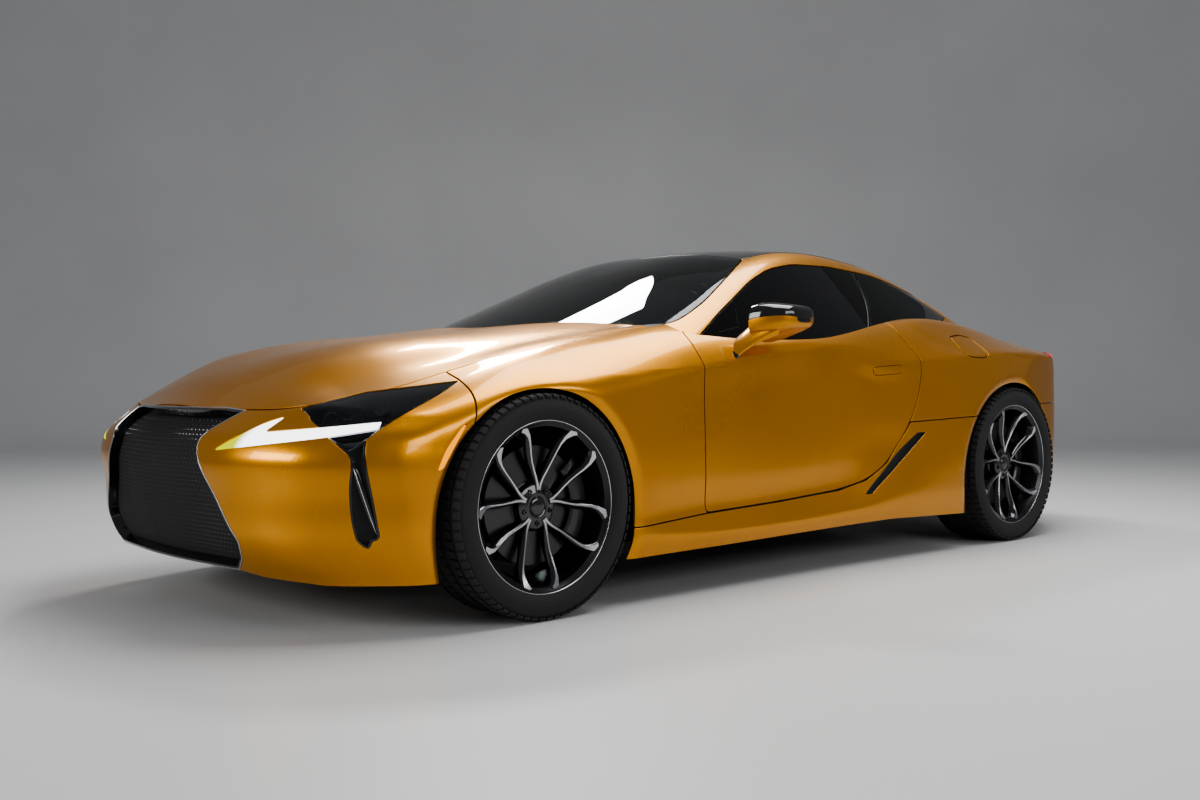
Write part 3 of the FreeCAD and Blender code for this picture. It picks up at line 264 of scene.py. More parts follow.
def reach(y, z, rows, outs):
    """How far the nose or the tail reaches at a place."""
    values = bend(rows[:, 0], rows[:, 1:], z)
    places = np.broadcast_to(np.array(outs, float), values.shape)
    mirrored = np.concatenate([-places[:, 1:2], places], 1)
    return across_rows(mirrored, np.concatenate([values[:, 1:2], values], 1), np.abs(y))


NOSE_ROUND, TAIL_ROUND, UNDERSIDE = 34.0, 22.0, 90


def body_form(p):
    """Below zero inside the lower body, above zero outside."""
    x, y, z = p[:, 0], p[:, 1], p[:, 2]
    soft = np.clip(bend(SHOULDER_X, SHOULDER, x), 5, 120)
    form = rounded_max(flank(p), z - top_height(x, y), soft)
    form = rounded_max(form, x - reach(y, z, NOSE, NOSE_OUT), NOSE_ROUND)
    return rounded_max(form, -x - reach(y, z, TAIL, TAIL_OUT), TAIL_ROUND)


# The greenhouse: side views of its top from the middle out, and the foot of its leaning sides.
HOUSE_OUT = (0, 350, 620, 830)
HOUSE = (
    ((1298, 850), (1000, 985), (660, 1128), (400, 1228), (165, 1298), (-60, 1334), (-380, 1345), (-640, 1331),
     (-850, 1304), (-1150, 1227), (-1420, 1122), (-1700, 988), (-1990, 850)),
    ((1250, 850), (950, 982), (600, 1125), (360, 1220), (148, 1287), (-70, 1322), (-380, 1334), (-620, 1321),
     (-840, 1294), (-1130, 1219), (-1390, 1115), (-1680, 982), (-1960, 850)),
    ((1143, 850), (840, 970), (500, 1100), (280, 1184), (75, 1247), (-120, 1288), (-320, 1303), (-520, 1296),
     (-700, 1274), (-950, 1211), (-1200, 1122), (-1530, 990), (-1850, 850)),
    ((960, 850), (700, 950), (420, 1060), (210, 1136), (0, 1195), (-160, 1228), (-320, 1240), (-480, 1230),
     (-640, 1208), (-860, 1150), (-1080, 1072), (-1390, 962), (-1700, 850)),
)
HOUSE_SIDE = ((1350, 770), (700, 872), (-150, 930), (-1100, 846), (-1600, 760), (-2150, 650))
HOUSE_FOOT = 850
HOUSE_LEAN, HOUSE_CURVE = 0.71, 0.00022
HOUSE_ROUND = 46.0


def house_form(p):
    """Below zero inside the greenhouse, above zero outside."""
    x, y, z = p[:, 0], np.abs(p[:, 1]), p[:, 2]
    rise = z - HOUSE_FOOT
    side = y - (bend(*zip(*HOUSE_SIDE), x) - HOUSE_LEAN * rise - HOUSE_CURVE * rise**2)
    heights = np.stack([bend(*zip(*line), x) for line in HOUSE], 1)
    places = np.broadcast_to(np.array(HOUSE_OUT, float), heights.shape)
    mirrored = np.concatenate([-places[:, 1:2], places], 1)
    top = z - across_rows(mirrored, np.concatenate([heights[:, 1:2], heights], 1), y)
    return rounded_max(side, top, HOUSE_ROUND)


# Sheets of triangles

def slopes(form, p, step=1.0):
    """The gradient of a form at points."""
    axes = np.eye(3) * step
    return np.stack([(form(p + a) - form(p - a)) / (2 * step) for a in axes], 1)


def unit(v):
    return v / np.maximum(np.linalg.norm(v, axis=1), 1e-9)[:, None]


def settle(form, p):
    """Points moved along the slope onto a form's surface."""
    for _ in range(2):
        slope = slopes(form, p)
        p = p - slope * (form(p) / np.maximum((slope**2).sum(1), 0.05))[:, None]
    return p


# How large a sheet's triangles are in mm, and how a cut makes them smaller: those nearer to it than
# a share of their own size, but none below a share of the spacing.
SPACING, QUICK_SPACING = 17.0, 20.0
NEAR_SHARE, FINEST_SHARE = 1.1, 1.15
# How rays find the surface: turns at each end, reach, halvings, and wider steps under the floor.
END_TURNS, RAY_REACH, HALVINGS, FLOOR_STEPS = 92, 1500.0, 26, 4
# Points this near to the middle plane lie on it, and a value this small counts as inside a cut.
ON_MIDDLE, ON_CUT = 1e-3, 1e-4
# The step over which a panel's normals are read, the rounding of its edge, and how far round its
# box triangles are taken.
NORMAL_STEP, EDGE, BOX_MARGIN = 7.0, 1.6, 40


def sampled(form, spacing, level, ends, low, high, section):
    """The left half of a form's surface, as rays from an axis along the car meet it.
    The axis lies at a level between two ends, and the rays leave it between two angles.
    section is a rough half section, which spaces the rays evenly over the real one."""
    line = np.array(section, float)
    widths = (FLOOR_STEPS,) + (1,) * len(line)
    steps = [np.linspace(0, 1, max(2, int(math.dist(a, b) / (spacing * s))), endpoint=False)[:, None]
             * (np.array(b) - a) + a for a, b, s in zip(line[:-1], line[1:], widths)]
    points = np.concatenate(steps + [line[-1:]])
    angles = np.arctan2(points[:, 1] - level, points[:, 0])
    angles[0], angles[-1] = low, high
    along = np.linspace(ends[0], ends[1], int((ends[1] - ends[0]) / spacing))
    fans = np.radians(np.linspace(0, 90, END_TURNS)[1:])
    starts = np.concatenate([0 * fans + ends[0], along, 0 * fans + ends[1]])
    turns = np.concatenate([-fans[::-1], 0 * along, fans])
    x0, a = np.meshgrid(starts, angles, indexing="ij")
    turn = np.meshgrid(turns, angles, indexing="ij")[0]
    ways = np.stack([np.sin(turn), np.cos(turn) * np.cos(a), np.cos(turn) * np.sin(a)], -1).reshape(-1, 3)
    origins = np.stack([x0, 0 * x0, 0 * x0 + level], -1).reshape(-1, 3)
    near, far = np.zeros(len(origins)), np.full(len(origins), RAY_REACH)
    for _ in range(HALVINGS):
        middle = (near + far) / 2
        outside = form(origins + ways * middle[:, None]) > 0
        far = np.where(outside, middle, far)
        near = np.where(outside, near, middle)
    v = origins + ways * near[:, None]
    v[np.abs(v[:, 1]) < ON_MIDDLE, 1] = 0
    rows, cols = x0.shape
    i = np.arange(rows * cols).reshape(rows, cols)
    a, b, c, d = (q.ravel() for q in (i[:-1, :-1], i[1:, :-1], i[1:, 1:], i[:-1, 1:]))
    t = np.concatenate([np.stack([a, b, c], 1), np.stack([a, c, d], 1)])
    return tidy(v, t)


def tidy(v, t):
    """Doubled points merged, empty triangles and loose points dropped."""
    keys = np.round(v * 1000).astype(np.int64)
    _, first, back = np.unique(keys, axis=0, return_index=True, return_inverse=True)
    v, t = v[first], back.reshape(-1)[t]
    t = t[(t[:, 0] != t[:, 1]) & (t[:, 1] != t[:, 2]) & (t[:, 2] != t[:, 0])]
    used, back = np.unique(t, return_inverse=True)
    return v[used], back.reshape(t.shape)


def facing_out(form, v, t):
    """The triangles turned so that they face out of a form."""
    across = np.cross(v[t[:, 1]] - v[t[:, 0]], v[t[:, 2]] - v[t[:, 0]])
    out = (across * slopes(form, v[t].mean(1))).sum(1)
    t = t.copy()
    t[out < 0] = t[out < 0][:, ::-1]
    return t


def unique_edges(t):
    """Each edge once, and for each triangle which three edges it has."""
    e = np.sort(np.concatenate([t[:, [0, 1]], t[:, [1, 2]], t[:, [2, 0]]]), axis=1)
    key = e[:, 0] * (t.max() + 1) + e[:, 1]
    _, first, back = np.unique(key, return_index=True, return_inverse=True)
    return e[first], back.reshape(3, -1).T


def refine(v, t, value_of, rounds):
    """Triangles near a cut made smaller, so that the cut is crisp."""
    finest = FINEST_SHARE * SPACING / 2**rounds
    for _ in range(rounds):
        if not len(t):
            break
        value = np.abs(value_of(v))
        edges, of = unique_edges(t)
        length = np.linalg.norm(v[edges[:, 0]] - v[edges[:, 1]], axis=1)
        marked = (value[edges].min(1) < NEAR_SHARE * length) & (length > finest)
        middle = np.cumsum(marked) - 1 + len(v)
        v = np.concatenate([v, (v[edges[marked, 0]] + v[edges[marked, 1]]) / 2])
        mark, mid = marked[of], middle[of]
        count = mark.sum(1)
        made = [t[count == 0]]
        k = count == 3
        a, b, c, x, y, z = *t[k].T, *mid[k].T
        made += [np.stack(s, 1) for s in ((a, x, z), (x, b, y), (z, y, c), (x, y, z))]
        for k in range(3):
            one = (count == 1) & mark[:, k]
            a, b, c, x = t[one, k], t[one, (k + 1) % 3], t[one, (k + 2) % 3], mid[one, k]
            made += [np.stack([a, x, c], 1), np.stack([x, b, c], 1)]
            two = (count == 2) & ~mark[:, (k + 2) % 3]
            a, b, c = t[two, k], t[two, (k + 1) % 3], t[two, (k + 2) % 3]
            x, y = mid[two, k], mid[two, (k + 1) % 3]
            made += [np.stack([x, b, y], 1), np.stack([a, x, y], 1), np.stack([a, y, c], 1)]
        t = np.concatenate(made)
    return v, t


def cut(v, t, value_of, rounds):
    """The part of a sheet where a value is below zero."""
    v, t = refine(v, t, value_of, rounds)
    if not len(t):
        return v, t
    value = value_of(v)
    value = np.where(np.abs(value) < ON_CUT, -ON_CUT, value)
    inside = value[t] < 0
    count = inside.sum(1)
    edges, of = unique_edges(t)
    crossing = (value[edges[:, 0]] < 0) != (value[edges[:, 1]] < 0)
    a, b = edges[crossing].T
    share = value[a] / (value[a] - value[b])
    at = np.cumsum(crossing) - 1 + len(v)
    v = np.concatenate([v, v[a] + (v[b] - v[a]) * share[:, None]])
    made = [t[count == 3]]
    for k in range(3):
        j, m = (k + 1) % 3, (k + 2) % 3
        one = (count == 1) & inside[:, k]
        made.append(np.stack([t[one, k], at[of[one, k]], at[of[one, m]]], 1))
        two = (count == 2) & ~inside[:, k]
        p, q = at[of[two, k]], at[of[two, m]]
        made += [np.stack([p, t[two, j], t[two, m]], 1), np.stack([p, t[two, m], q], 1)]
    return tidy(v, np.concatenate(made))


def both_sides(v, t):
    """A left half and its mirror image, joined along the middle."""
    n = len(v)
    middle = np.abs(v[:, 1]) < ON_MIDDLE
    back = np.arange(n) + n
    back[middle] = np.arange(n)[middle]
    return tidy(np.concatenate([v, v * (1, -1, 1)]), np.concatenate([t, back[t][:, ::-1]]))


def walled(v, t, n, wall, edge, inner=None):
    """A sheet made a closed piece: rounded edges and an inner face, with a normal for each point."""
    e = np.concatenate([t[:, [0, 1]], t[:, [1, 2]], t[:, [2, 0]]])
    size = len(v) + 1
    rim = e[~np.isin(e[:, 0] * size + e[:, 1], e[:, 1] * size + e[:, 0])]
    around = np.zeros_like(v)
    step = v[rim[:, 1]] - v[rim[:, 0]]
    for k in (0, 1):
        np.add.at(around, rim[:, k], np.cross(step, n[rim[:, k]]))
    ring = np.unique(rim)
    out = unit(around[ring] - n[ring] * (around[ring] * n[ring]).sum(1)[:, None])
    if inner is None:
        inner = v - n * wall
    spot = np.zeros(len(v), int)
    spot[ring] = np.arange(len(ring))
    points, normals = [v], [n]
    for turn in (45, 90):
        s, c = math.sin(math.radians(turn)), math.cos(math.radians(turn))
        points.append(v[ring] + out * edge * s - n[ring] * edge * (1 - c))
        normals.append(out * s + n[ring] * c)
    points += [inner[ring] + out * edge, inner]
    normals += [out, -n]
    starts = np.cumsum([len(q) for q in points])
    a, b = rim.T
    faces = [t, t[:, ::-1] + starts[-2]]
    rows = [(a, b)] + [(spot[a] + start, spot[b] + start) for start in starts[:-2]]
    rows.append((a + starts[-2], b + starts[-2]))
    for (a, b), (c, d) in zip(rows[:-1], rows[1:]):
        faces += [np.stack([b, a, c], 1), np.stack([b, c, d], 1)]
    return np.concatenate(points), np.concatenate(faces), unit(np.concatenate(normals))


# Outlines

CORNER_POINTS = 7


def rounded(points):
    """An outline with its corners rounded: each point is (across, up) or (across, up, setback)."""
    made = []
    for k, point in enumerate(points):
        p = np.array(point[:2], float)
        if len(point) < 3:
            made.append(p)
            continue
        ends = []
        for other in (points[k - 1], points[(k + 1) % len(points)]):
            way = np.array(other[:2], float) - p
            ends.append(p + way * min(0.49, point[2] / max(np.linalg.norm(way), 1e-6)))
        for s in np.linspace(0, 1, CORNER_POINTS):
            made.append((1 - s) ** 2 * ends[0] + 2 * s * (1 - s) * p + s**2 * ends[1])
    return np.array(made)


def side_view(p):
    return p[:, [0, 2]]


def plan_view(p):
    return np.stack([p[:, 0], np.abs(p[:, 1])], 1)


def front_view(p):
    return np.stack([np.abs(p[:, 1]), p[:, 2]], 1)


SLANT = math.sqrt(0.5)


def slant_view(p):
    """Seen from between the front and the side."""
    return np.stack([(np.abs(p[:, 1]) - p[:, 0]) * SLANT, p[:, 2]], 1)


def distance(line, q):
    """The distance of points from a closed line, below zero inside it."""
    best = np.full(len(q), 1e12)
    odd = np.zeros(len(q), bool)
    for a, b in zip(line, np.roll(line, -1, axis=0)):
        d = b - a
        s = np.clip(((q - a) @ d) / max(d @ d, 1e-9), 0, 1)
        best = np.minimum(best, ((q - a - s[:, None] * d) ** 2).sum(1))
        if a[1] != b[1]:
            crosses = (a[1] > q[:, 1]) != (b[1] > q[:, 1])
            odd ^= crosses & (q[:, 0] < a[0] + (q[:, 1] - a[1]) * d[0] / d[1])
    return np.sqrt(best) * np.where(odd, -1, 1)


def outline(view, *points):
    """The distance function of a closed outline that is drawn in a view."""
    line = rounded(points)
    return lambda p: distance(line, view(p))


def within(gap, by):
    """Keeps what lies inside an outline by a gap."""
    return lambda p: gap(p) + by


def beyond(gap, by):
    """Keeps what lies outside an outline by a gap."""
    return lambda p: by - gap(p)


# The greenhouse counts from this far above the crease, and elsewhere it is taken as far away.
CREASE_CLEAR, FAR_OUT = 4, 1000.0


def house_gap(p):
    """How far a point is outside the greenhouse, counted only above the flank's crease."""
    return np.where(p[:, 2] > crease_height(p) + CREASE_CLEAR, house_form(p), FAR_OUT)


# The outlines: points in mm in the view that each is drawn in, some with a setback that rounds the
# corner. BIG lies well beyond the car.
BIG = 3000
DOOR = outline(side_view, (716, 1150), (713, 880), (705, 600, 60), (697, 287, 26), (268, 300, 60),
        (-111, 320, 120), (-278, 352, 60), (-416, 418, 60), (-540, 541, 60), (-617, 668, 60),
        (-644, 798, 60), (-621, 880, 60), (-570, 958), (-566, 1150))
SILL = outline(side_view, (1200, 100), (1200, 262), (1058, 265), (697, 285), (268, 298), (-111, 318),
        (-278, 350), (-416, 416), (-540, 541), (-574, 583), (-1030, 597), (-1200, 599), (-1200, 100))
FRONT_SPLIT = outline(side_view, (BIG, -BIG), (BIG, 1200), (1660, 1200), (1690, 800), (1706, 766),
        (1722, 700), (1735, 640), (1735, -BIG))
REAR_SPLIT = outline(side_view, (-1410, -BIG), (-1410, 645), (-BIG, 645), (-BIG, -BIG))
BONNET = outline(plan_view, (2297, 0), (2290, 180), (2272, 262, 30), (2232, 415, 50), (2186, 540, 50),
        (2150, 608, 30), (2101, 652, 40), (1985, 672, 60), (1856, 690, 60), (1690, 692, 60),
        (1396, 701, 60), (1049, 706, 60), (815, 738, 14), (914, 500, 60), (1004, 250, 60), (1044, 0),
        (1044, -20), (2297, -20))
SCREEN = outline(plan_view, (1031, -20), (1031, 0), (991, 250, 60), (901, 500, 60), (800, 668, 40),
        (748, 722, 30), (690, 743, 30), (617, 735, 30), (492, 709, 60), (295, 640, 60), (150, 578, 30),
        (80, 542, 24), (138, 260, 90), (150, 0), (150, -20))
ROOF = outline(plan_view, (150, -20), (150, 0), (138, 260, 90), (80, 542, 24), (-104, 528, 60),
        (-321, 520, 60), (-517, 528, 60), (-700, 530, 60), (-800, 516, 30), (-838, 260, 90), (-850, 0),
        (-850, -20))
REAR_GLASS = outline(plan_view, (-850, -20), (-850, 0), (-838, 260, 90), (-800, 516, 30), (-1200, 560, 90),
        (-1500, 588, 60), (-1575, 590, 24), (-1636, 400, 60), (-1678, 200, 60), (-1693, 0), (-1693, -20))
COWL = outline(plan_view, (500, -20), (500, 735), (742, 735), (815, 738), (914, 500, 60), (1004, 250, 60),
        (1044, 0), (1044, -20))
BOOT = outline(plan_view, (-1733, -20), (-1733, 0), (-1716, 200, 60), (-1668, 400, 60), (-1605, 600, 20),
        (-1980, 620, 60), (-2110, 527, 60), (-2600, 527), (-2600, -20))
REAR_COWL = outline(plan_view, (-1480, -20), (-1480, 598), (-1605, 600), (-1668, 400), (-1716, 200),
        (-1733, 0), (-1733, -20))
HEADLAMP = outline(slant_view, (-1096, 688), (-1023, 710), (-926, 735), (-787, 752, 10), (-653, 769, 4),
        (-701, 727, 30), (-770, 683, 60), (-838, 637, 40), (-881, 599, 20), (-930, 566, 8), (-990, 606, 8),
        (-1023, 634, 6), (-1058, 656, 6), (-1066, 671, 8))
DRL = outline(slant_view, (-1366, 563, 4), (-1187, 585, 90), (-990, 607, 60), (-851, 629, 3),
        (-846, 650, 3), (-1023, 634, 60), (-1201, 619, 6), (-1144, 664, 4), (-1208, 646, 30),
        (-1272, 613, 60))
DUCT = outline(slant_view, (-990, 604), (-950, 574, 14), (-923, 550, 14), (-919, 513, 40), (-929, 455, 60),
        (-924, 367, 40), (-908, 293, 22), (-874, 274, 14), (-866, 300, 10), (-842, 306, 12),
        (-856, 395, 60), (-872, 491, 60), (-882, 563, 30), (-880, 596), (-926, 568))
MARKER = outline(side_view, (1872, 500, 5), (1846, 557, 30), (1782, 633, 20), (1764, 641, 4),
        (1808, 571, 30), (1850, 507, 8))
GRILLE = outline(front_view, (-20, 688), (0, 688), (300, 690), (407, 682, 8), (327, 584, 34),
        (352, 525, 50), (415, 429, 60), (501, 291, 20), (487, 235, 10), (443, 196, 12), (0, 196),
        (-20, 196))
SLOT = outline(side_view, (-256, 292, 4), (-350, 359, 60), (-501, 466, 60), (-618, 536, 12), (-676, 538, 4),
        (-577, 463, 60), (-405, 357, 60), (-300, 293, 8))
HANDLE = outline(side_view, (-313, 812, 8), (-337, 819, 10), (-487, 828, 10), (-510, 822, 8),
        (-512, 800, 8), (-494, 791, 10), (-342, 782, 10), (-318, 790, 8))
FUEL = outline(side_view, (-985, 958, 18), (-1084, 968, 18), (-1178, 958, 18), (-1182, 884, 18),
        (-1150, 862, 20), (-1023, 866, 20), (-984, 880, 18))
WINDOW = outline(side_view, (712, 880), (693, 900, 8), (477, 1022, 60), (193, 1161, 60), (26, 1222, 60),
        (-161, 1255, 60), (-430, 1261, 60), (-773, 1240, 60), (-930, 1208, 60), (-1040, 1176, 4),
        (-1140, 1160), (-1262, 1062, 6), (-1150, 1030), (-970, 900), (700, 850))
DOOR_GLASS = outline(side_view, (712, 830), (693, 900, 8), (477, 1022, 60), (193, 1161, 60), (26, 1222, 60),
        (-161, 1255, 60), (-430, 1261, 40), (-604, 1250, 8), (-570, 1143, 60), (-498, 1058, 60),
        (-396, 973, 40), (-360, 900), (-340, 830))
QUARTER = outline(side_view, (-616, 1251, 8), (-582, 1143, 60), (-510, 1058, 60), (-408, 973, 40),
        (-372, 900), (-372, 830), (-1000, 830), (-1010, 1045), (-1070, 1078, 8), (-1093, 1119, 20),
        (-991, 1177, 60), (-773, 1240, 60))
TAIL_LAMP = outline(side_view, (-1800, 872, 8), (-1990, 898), (-2500, 898), (-2500, 790), (-2170, 800, 40),
        (-1990, 850, 40))
BOOT_BACK = outline(side_view, (-BIG, 645), (-BIG, 1200), (-1900, 1200), (-1900, 645))
NOSE_BOTTOM = ((1700, 155), (1838, 156), (2128, 160), (2240, 178), (2281, 196), (2400, 205))
TAIL_BOTTOM = ((-2420, 250), (-2300, 240), (-2200, 205), (-1900, 170), (-1500, 160))
SILL_BOTTOM = ((-1100, 160), (-950, 162), (-450, 176), (150, 168), (629, 161), (1107, 157))


def above_line(line, by=0.0):
    """Keeps what lies above a line in side view."""
    xs, zs = zip(*sorted(line))
    return lambda p: np.interp(p[:, 0], xs, zs) + by - p[:, 2]


# Materials and node trees

def new_tree(name, kind, inputs, outputs):
    """An empty node tree with named sockets: the tree, its inputs by name, and its output node."""
    tree = bpy.data.node_groups.new(name, kind)
    for label, socket_kind, value in inputs:
        socket = tree.interface.new_socket(label, in_out="INPUT", socket_type="NodeSocket" + socket_kind)
        if value is not None:
            socket.default_value = value
    for label, socket_kind in outputs:
        tree.interface.new_socket(label, in_out="OUTPUT", socket_type="NodeSocket" + socket_kind)
    given = {socket.name: socket for socket in tree.nodes.new("NodeGroupInput").outputs}
    return tree, given, tree.nodes.new("NodeGroupOutput")


def node(tree, kind, links=(), **values):
    """A node with its settings, and its inputs linked or set by name or number."""
    made = tree.nodes.new(kind)
    for key, value in values.items():
        setattr(made, key, value)
    for socket, value in dict(links).items():
        if isinstance(value, bpy.types.NodeSocket):
            tree.links.new(value, made.inputs[socket])
        else:
            made.inputs[socket].default_value = value
    return made


def surface_group():
    """Clouds of colour and roughness, and a fine grain as a height, for any surface."""
    name = "surface_detail"
    if name in bpy.data.node_groups:
        return bpy.data.node_groups[name]
    group, given, outside = new_tree(name, "ShaderNodeTree", (
        ("Colour", "Color", (0.5, 0.5, 0.5, 1)), ("Second Colour", "Color", (0.4, 0.4, 0.4, 1)),
        ("Cloud Size", "Float", 0.2), ("Grain Size", "Float", 0.001),
        ("Roughness Low", "Float", 0.3), ("Roughness High", "Float", 0.4)),
        (("Colour", "Color"), ("Roughness", "Float"), ("Height", "Float")))
    place = node(group, "ShaderNodeTexCoord").outputs["Object"]
    sizes = [node(group, "ShaderNodeMath", {0: 1.0, 1: given[s]}, operation="DIVIDE").outputs[0]
             for s in ("Cloud Size", "Grain Size")]
    noises = [node(group, "ShaderNodeTexNoise", {"Vector": place, "Scale": size, "Detail": detail})
              for size, detail in zip(sizes, (4.0, 2.0))]
    cloud, grain = noises[0].outputs[0], noises[1].outputs[0]
    mixed = node(group, "ShaderNodeMix", {0: cloud, 6: given["Colour"], 7: given["Second Colour"]},
                 data_type="RGBA")
    rough = node(group, "ShaderNodeMapRange", {0: cloud, 1: 0.3, 2: 0.7, 3: given["Roughness Low"],
                                               4: given["Roughness High"]})
    for k, value in enumerate((mixed.outputs[2], rough.outputs[0], grain)):
        group.links.new(value, outside.inputs[k])
    return group


BUMP_DEPTH = 0.0002


def finish_of(name, colour, second=None, rough=(0.3, 0.4), grain=0.001, cloud=0.2, bump=0.0, **shader):
    """A material of a plain kind: two close colours, a roughness range, and a grain that bumps it."""
    if name in bpy.data.materials:
        return bpy.data.materials[name]
    material = bpy.data.materials.new(name)
    material.use_nodes = True
    tree = material.node_tree
    main = tree.nodes["Principled BSDF"]
    second = second or tuple(c * 0.86 for c in colour)
    detail = node(tree, "ShaderNodeGroup", {
        "Colour": (*colour, 1), "Second Colour": (*second, 1), "Cloud Size": cloud, "Grain Size": grain,
        "Roughness Low": rough[0], "Roughness High": rough[1]}, node_tree=surface_group())
    tree.links.new(detail.outputs[0], main.inputs["Base Color"])
    tree.links.new(detail.outputs[1], main.inputs["Roughness"])
    if bump:
        lifted = node(tree, "ShaderNodeBump", {"Height": detail.outputs[2], "Strength": bump,
                                               "Distance": BUMP_DEPTH})
        tree.links.new(lifted.outputs[0], main.inputs["Normal"])
    for key, value in shader.items():
        main.inputs[key.replace("_", " ")].default_value = value
    return material


def paint():
    look = bpy.context.scene.coupe_finish
    return finish_of("amber_pearl_paint", tuple(look.paint), tuple(look.paint_deep), (0.26, 0.34), 0.0006,
                     cloud=0.5, bump=0.05, Metallic=0.8, Coat_Weight=0.65, Coat_Roughness=0.03, Coat_IOR=1.45)


def gloss_black():
    return finish_of("gloss_black_trim", (0.006, 0.006, 0.007), rough=(0.08, 0.13), grain=0.002, bump=0.02,
                     Coat_Weight=0.6)


def satin_black():
    return finish_of("moulded_black_plastic", (0.018, 0.018, 0.019), (0.026, 0.026, 0.027), (0.45, 0.6),
                     0.0009, bump=0.35)


# Near-black for the headliner and the grille sheet, and painted shade in the strips behind the gaps and the
# door openings.
def dark_lining():
    return finish_of("dark_lining", (0.012, 0.012, 0.013), (0.02, 0.019, 0.018), (0.75, 0.9), 0.0015,
                     bump=0.5)


def chrome():
    return finish_of("bright_trim", (0.82, 0.83, 0.84), rough=(0.06, 0.12), Metallic=1.0)


def satin_bright():
    return finish_of("satin_bright", (0.5, 0.5, 0.51), rough=(0.25, 0.35), bump=0.1, Metallic=1.0)


def glass(name, colour, rough=0.0):
    """Clear or tinted glass, with a faint film of dust in its roughness."""
    return finish_of(name, colour, colour, (rough, rough + 0.015), Transmission_Weight=1.0, IOR=1.33)


def lit(name, colour, strength, second=None, place=None):
    """A lit lamp face; its colour may change along the car's width."""
    material = finish_of(name, colour, colour, (0.2, 0.3), grain=0.003, bump=0.1)
    tree = material.node_tree
    main = tree.nodes["Principled BSDF"]
    main.inputs["Emission Strength"].default_value = strength
    if second and not main.inputs["Emission Color"].is_linked:
        at = node(tree, "ShaderNodeTexCoord").outputs["Object"]
        parts = node(tree, "ShaderNodeSeparateXYZ", {0: at})
        out = node(tree, "ShaderNodeMath", {0: parts.outputs["Y"]}, operation="ABSOLUTE")
        share = node(tree, "ShaderNodeMapRange", {0: out.outputs[0], 1: place[0], 2: place[1]})
        mixed = node(tree, "ShaderNodeMix", {0: share.outputs[0], 6: (*second, 1), 7: (*colour, 1)},
                     data_type="RGBA")
        tree.links.new(mixed.outputs[2], main.inputs["Emission Color"])
        dim = node(tree, "ShaderNodeMix", {0: 0.75, 6: mixed.outputs[2], 7: (0, 0, 0, 1)},
                   data_type="RGBA")
        tree.links.new(dim.outputs[2], main.inputs["Base Color"])
    elif not second:
        main.inputs["Emission Color"].default_value = (*colour, 1)
    return material


# Pieces

def placed(mesh, body, replaces=(), sharp=None):
    """An object for a finished mesh, riding on a body; edges over an angle in degrees stay sharp."""
    if sharp:
        mesh.set_sharp_from_angle(angle=math.radians(sharp))
    made = bpy.data.objects.new(mesh.name, mesh)
    bpy.context.scene.collection.objects.link(made)
    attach(made, body)
    if replaces:
        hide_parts(*replaces)
    return made


def piece(name, parts, body, materials, replaces=(), sharp=None):
    """A Blender object from parts: points in mm, faces, normals or None, and material numbers."""
    points, faces, normals, kinds, start = [], [], [], [], 0
    for v, t, n, kind in parts:
        points.append(np.asarray(v, float) * MM)
        faces += [[int(i) + start for i in face] for face in t]
        kinds += np.broadcast_to(kind, len(t)).tolist()
        normals.append(np.zeros((len(v), 3)) if n is None else n)
        start += len(v)
    mesh = bpy.data.meshes.new(name)
    mesh.from_pydata(np.concatenate(points).tolist(), [], faces)
    for material in materials:
        mesh.materials.append(material)
    mesh.polygons.foreach_set("material_index", kinds)
    mesh.polygons.foreach_set("use_smooth", [True] * len(kinds))
    mesh.update()
    if any(part[2] is not None for part in parts):
        mesh.normals_split_custom_set_from_vertices(np.concatenate(normals).tolist())
    return placed(mesh, body, replaces, sharp)


def flipped(part, side):
    """A part moved to the right side, or left as it is."""
    v, faces, n, kind = part
    if side > 0:
        return part
    faces = faces[:, ::-1] if isinstance(faces, np.ndarray) else [list(f)[::-1] for f in faces]
    return v * (1, -1, 1), faces, None if n is None else n * (1, -1, 1), kind


def pair(name, parts, body, materials, replaces=(), sharp=None):
    """A left and a right piece from the left one's parts; {} in a name stands for the side."""
    for side, sign in SIDES:
        piece(name.format(side), [flipped(part, sign) for part in parts], body.format(side), materials,
              [node_name.format(side) for node_name in replaces], sharp)


# How each form is sampled: the height and the ends of the rays' axis, their lowest and highest
# angle, and a rough half section.
FORMS = {"body": body_form, "house": house_form}
SAMPLING = {
    "body": (480.0, (-1500.0, 1500.0), -math.pi / 2, math.pi / 2,
             [(0, 90), (900, 90), (940, 480), (930, 780), (905, 905), (700, 970), (0, 1010)]),
    "house": (800.0, (-1500.0, 700.0), -0.05, math.pi / 2,
              [(930, 780), (900, 850), (640, 1180), (560, 1260), (0, 1345)]),
}
SHEETS = {}


def form_sheet(which):
    """The sampled left half of the lower body or of the greenhouse, made once."""
    if which not in SHEETS:
        form = house_form if which == "house" else lambda p: np.maximum(body_form(p), UNDERSIDE - p[:, 2])
        v, t = sampled(form, SPACING, *SAMPLING[which])
        SHEETS[which] = v, facing_out(FORMS[which], v, t)
    return SHEETS[which]


def region(which, box, *keeps, rounds=1):
    """The part of a form's left half inside a box of x and z ranges, where every keep is below zero."""
    v, t = form_sheet(which)
    middle = v[t].mean(1)
    near = np.ones(len(t), bool)
    for axis, (low, high) in zip((0, 2), box):
        near &= (middle[:, axis] > low - BOX_MARGIN) & (middle[:, axis] < high + BOX_MARGIN)
    v, t = tidy(v, t[near])
    for keep in keeps:
        v, t = cut(v, t, keep, rounds)
        if not len(t):
            raise RuntimeError("a panel's outline leaves nothing of it")
    return np.where(np.abs(v[:, 1:2]) < ON_MIDDLE, v * (1, 0, 1), settle(FORMS[which], v)), t


